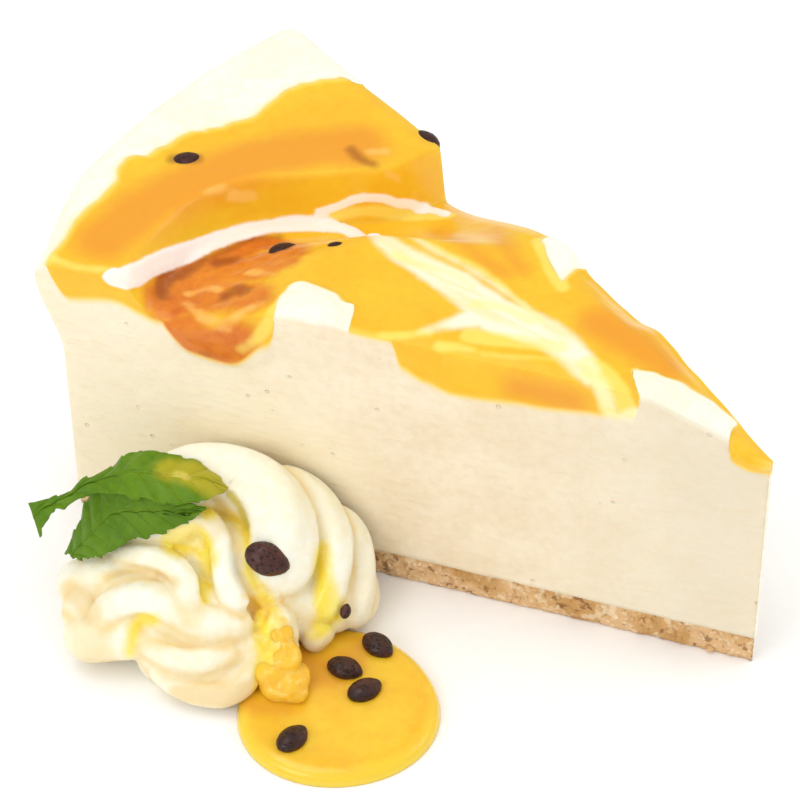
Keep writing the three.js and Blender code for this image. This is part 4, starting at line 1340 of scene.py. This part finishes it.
def seed_finish():
    material, tree, shader = new_finish("dark_seed", Coat_Weight=0.15, Coat_Roughness=0.2)
    colour = mottled(tree, shade(80, 34, 25), shade(40, 16, 12))
    rind = ramp(tree, lumps(tree, 0.7), 0.1, 0.5)
    tree.links.new(mix(tree, rind, shade(30, 14, 12), colour), shader.inputs["Base Color"])
    uneven_gloss(tree, shader, 0.8, 0.35, 0.55)
    relief(tree, shader, rind, -0.2)
    return material


def pulp_finish():
    jelly = soft(0.35, (1.0, 0.6, 0.15), 2)
    material, tree, shader = new_finish("fruit_pulp", Coat_Weight=0.3, Coat_Roughness=0.12, **jelly)
    colour = mottled(tree, shade(250, 202, 58), shade(246, 184, 46))
    fibre = ramp(tree, speckle(tree, 1.6, 2, (1, 1, 2.0)), 0.52, 0.68)
    colour = tinted(tree, colour, fibre, 0.5, shade(254, 224, 116))
    tree.links.new(colour, shader.inputs["Base Color"])
    uneven_gloss(tree, shader, 2, 0.15, 0.3)
    relief(tree, shader, speckle(tree, 1.5, 2), 0.25)
    return material


def sauce_finish():
    jelly = soft(0.35, (1.0, 0.5, 0.1), 3)
    material, tree, shader = new_finish("fruit_sauce", Coat_Weight=0.25, Coat_Roughness=0.08, **jelly)
    body = mottled(tree, shade(247, 202, 48), shade(242, 184, 40))
    rim = edge(tree, calc(tree, "SUBTRACT", marked(tree, "edge"), 1.6), 1.2, 0.6)
    colour = mix(tree, rim, shade(248, 206, 56), body)
    # Deeper orange where the sauce is thick, partly painted shade by the cream and the seeds
    colour = tinted(tree, colour, marked_edge(tree, "deep", 2.2, 0.8), 0.5, shade(216, 124, 34))
    tree.links.new(colour, shader.inputs["Base Color"])
    uneven_gloss(tree, shader, 5, 0.16, 0.28)
    relief(tree, shader, speckle(tree, 7, 1), 0.3)
    return material


def cream_finish():
    white = soft(0.3, (1.0, 0.8, 0.5), 1.5)
    material, tree, shader = new_finish("whipped_cream", Coat_Roughness=0.1, **white)
    groove = marked(tree, "groove")
    body = mottled(tree, shade(251, 249, 234), shade(247, 239, 208))
    # Darker and yellower towards the bottom: painted shade, with some of the sauce's stain
    body = tinted(tree, body, marked(tree, "low"), 0.45, shade(242, 222, 176))
    shadow = times(tree, groove, ramp(tree, speckle(tree, 6, 2), 0.35, 0.7, 0.45, 0.9))
    colour = mix(tree, shadow, body, shade(238, 212, 146))
    # Painted shade in the creases, tan coloured
    colour = tinted(tree, colour, marked_edge(tree, "painted_fold_shade", 0.8, 0.5), 0.6, shade(232, 200, 130))
    sauce = times(tree, marked_edge(tree, "sauce", 0.9, 0.5), ramp(tree, groove, 0, 1, 0.75, 1.0))
    colour = mix(tree, sauce, colour, mottled(tree, shade(250, 230, 84), shade(247, 212, 66)))
    specks = ramp(tree, speckle(tree, 2.8, 2), 0.44, 0.68)
    fruit = times(tree, marked_edge(tree, "fruit", 1.0, 1.0), specks)
    colour = tinted(tree, colour, fruit, 0.7, shade(246, 200, 66))
    colour = tinted(tree, colour, marked_edge(tree, "olive", 0.5, 0.5), 0.85, shade(206, 186, 54))
    tree.links.new(colour, shader.inputs["Base Color"])
    tree.links.new(ramp(tree, sauce, 0, 1, 0.5, 0.25), shader.inputs["Roughness"])
    tree.links.new(times(tree, sauce, 0.4), shader.inputs["Coat Weight"])
    bubbles = calc(tree, "ADD", speckle(tree, 1.1, 3), times(tree, speckle(tree, 4, 2), 1.2))
    relief(tree, shader, bubbles, 0.2)
    return material


def vein_mask(tree):
    """A leaf's midrib and its fainter side veins."""
    along, middle = marked(tree, "along"), marked(tree, "middle")
    wave = calc(tree, "ADD", times(tree, along, LEAF_VEINS), times(tree, middle, LEAF_VEIN_SLANT))
    swell = calc(tree, "ABSOLUTE", calc(tree, "SINE", times(tree, wave, math.pi)))
    side = ramp(tree, swell, 0.0, 0.3, 1.0, 0.0)
    midrib = ramp(tree, middle, 0.0, 0.1, 1.0, 0.0)
    return calc(tree, "MAXIMUM", times(tree, side, 0.6), midrib)


def mint_finish():
    green = soft(0.15, (0.4, 1.0, 0.1), 1)
    material, tree, shader = new_finish(
        "mint_leaf", Specular_IOR_Level=0.22, Coat_Weight=0.05, Coat_Roughness=0.2, **green
    )
    veins = vein_mask(tree)
    cells = ramp(tree, lumps(tree, 1.3), 0.1, 0.7)
    blade = mottled(tree, shade(104, 140, 14), shade(78, 118, 10))
    blade = tinted(tree, blade, cells, 0.25, shade(88, 128, 14))
    colour = tinted(tree, blade, veins, 0.22, shade(138, 166, 40))
    colour = tinted(tree, colour, marked_edge(tree, "glazed", 1.2, 0.8), 0.7, shade(196, 178, 40))
    # The drop of sauce on the leaf, painted pale yellow as its highlight
    colour = tinted(tree, colour, marked_edge(tree, "drop", 0.5, 0.4), 0.75, shade(236, 220, 110))
    tree.links.new(colour, shader.inputs["Base Color"])
    uneven_gloss(tree, shader, 2, 0.32, 0.5)
    relief(tree, shader, calc(tree, "SUBTRACT", times(tree, cells, -0.5), veins), 0.16)
    return material


def floor_finish():
    material, tree, shader = new_finish("studio_floor", Roughness=0.7)
    tree.links.new(mottled(tree, shade(255, 255, 255), shade(252, 252, 251)), shader.inputs["Base Color"])
    return material


# Stage


def aim(thing, position, target, roll=0.0):
    back = (Vector(position) - Vector(target)).normalized()
    right = Vector((0, 0, 1)).cross(back).normalized()
    up = back.cross(right)
    turn = Matrix((right, up, back)).transposed().to_4x4() @ Matrix.Rotation(math.radians(roll), 4, "Z")
    thing.matrix_world = Matrix.Translation(Vector(position) * MM) @ turn


def add_camera():
    camera = bpy.data.objects.new("camera", bpy.data.cameras.new("camera"))
    camera.data.sensor_fit = "HORIZONTAL"
    camera.data.angle = math.radians(CAMERA_VIEW)
    position = Vector(CAMERA_AIM) + Vector(toward_camera()) * CAMERA_DISTANCE
    aim(camera, position, CAMERA_AIM, CAMERA_ROLL)
    bpy.context.scene.collection.objects.link(camera)
    bpy.context.scene.camera = camera


def add_softbox(name, position, size, power):
    light = bpy.data.lights.new(name, "AREA")
    light.shape = "DISK"
    light.size = size * MM
    light.energy = power
    holder = bpy.data.objects.new(name, light)
    aim(holder, position, LIGHT_AIM)
    bpy.context.scene.collection.objects.link(holder)


def add_floor():
    bm = bmesh.new()
    bmesh.ops.create_grid(bm, x_segments=2, y_segments=2, size=FLOOR_HALF)
    bmesh.ops.translate(bm, vec=(0, 0, -FLOOR_DROP), verts=bm.verts)
    mesh = finished_mesh(bm, "floor")
    mesh.materials.append(floor_finish())
    floor = bpy.data.objects.new("floor", mesh)
    bpy.context.scene.collection.objects.link(floor)


def add_room_light():
    """White light from all round, brighter where the camera sees it and dimmer in reflections."""
    world = bpy.data.worlds.new("studio")
    world.use_nodes = True
    tree = world.node_tree
    background = tree.nodes["Background"]
    rays = add_node(tree, "ShaderNodeLightPath").outputs
    dimmed = times(tree, rays["Is Glossy Ray"], ROOM_LIGHT - ROOM_GLOSS)
    strength = calc(tree, "SUBTRACT", ROOM_LIGHT, dimmed)
    strength = calc(tree, "MAXIMUM", strength, rays["Is Camera Ray"])
    tree.links.new(strength, background.inputs["Strength"])
    background.inputs["Color"].default_value = (1, 1, 1, 1)
    bpy.context.scene.world = world


def add_stage():
    add_floor()
    add_room_light()
    for softbox in SOFTBOXES:
        add_softbox(*softbox)
    bpy.context.scene.view_settings.view_transform = "Standard"


add_camera()
add_stage()
cheesecake_nodes = ("filling", "fruit_glaze")
add_piece("cheesecake", cheesecake_mesh(), cheesecake_finish(), cheesecake_nodes)
biscuit = biscuit_finish("biscuit_base")
add_piece("crumb_base_rough", biscuit_mesh(), biscuit, ("crumb_base",))
add_piece("biscuit_grains", biscuit_grain_mesh(), biscuit_finish("biscuit_grain"))
add_piece("seeds", seeds_mesh(), seed_finish())
add_piece("pulp", pulp_mesh(), pulp_finish())
add_piece("sauce", pool_mesh(), sauce_finish(), ("sauce_pool",))
leaf_sheets = {leaf_name: leaf_sheet(leaf_name, leaf_edges) for leaf_name, leaf_edges in LEAVES.items()}
cream = cream_mesh(list(leaf_sheets.values()))
add_piece("cream", cream, cream_finish(), ("whipped_cream",))
leaf_green = mint_finish()
for leaf_name, sheet in leaf_sheets.items():
    add_piece(leaf_name + "_veined", leaf_mesh(sheet), leaf_green, (leaf_name,))
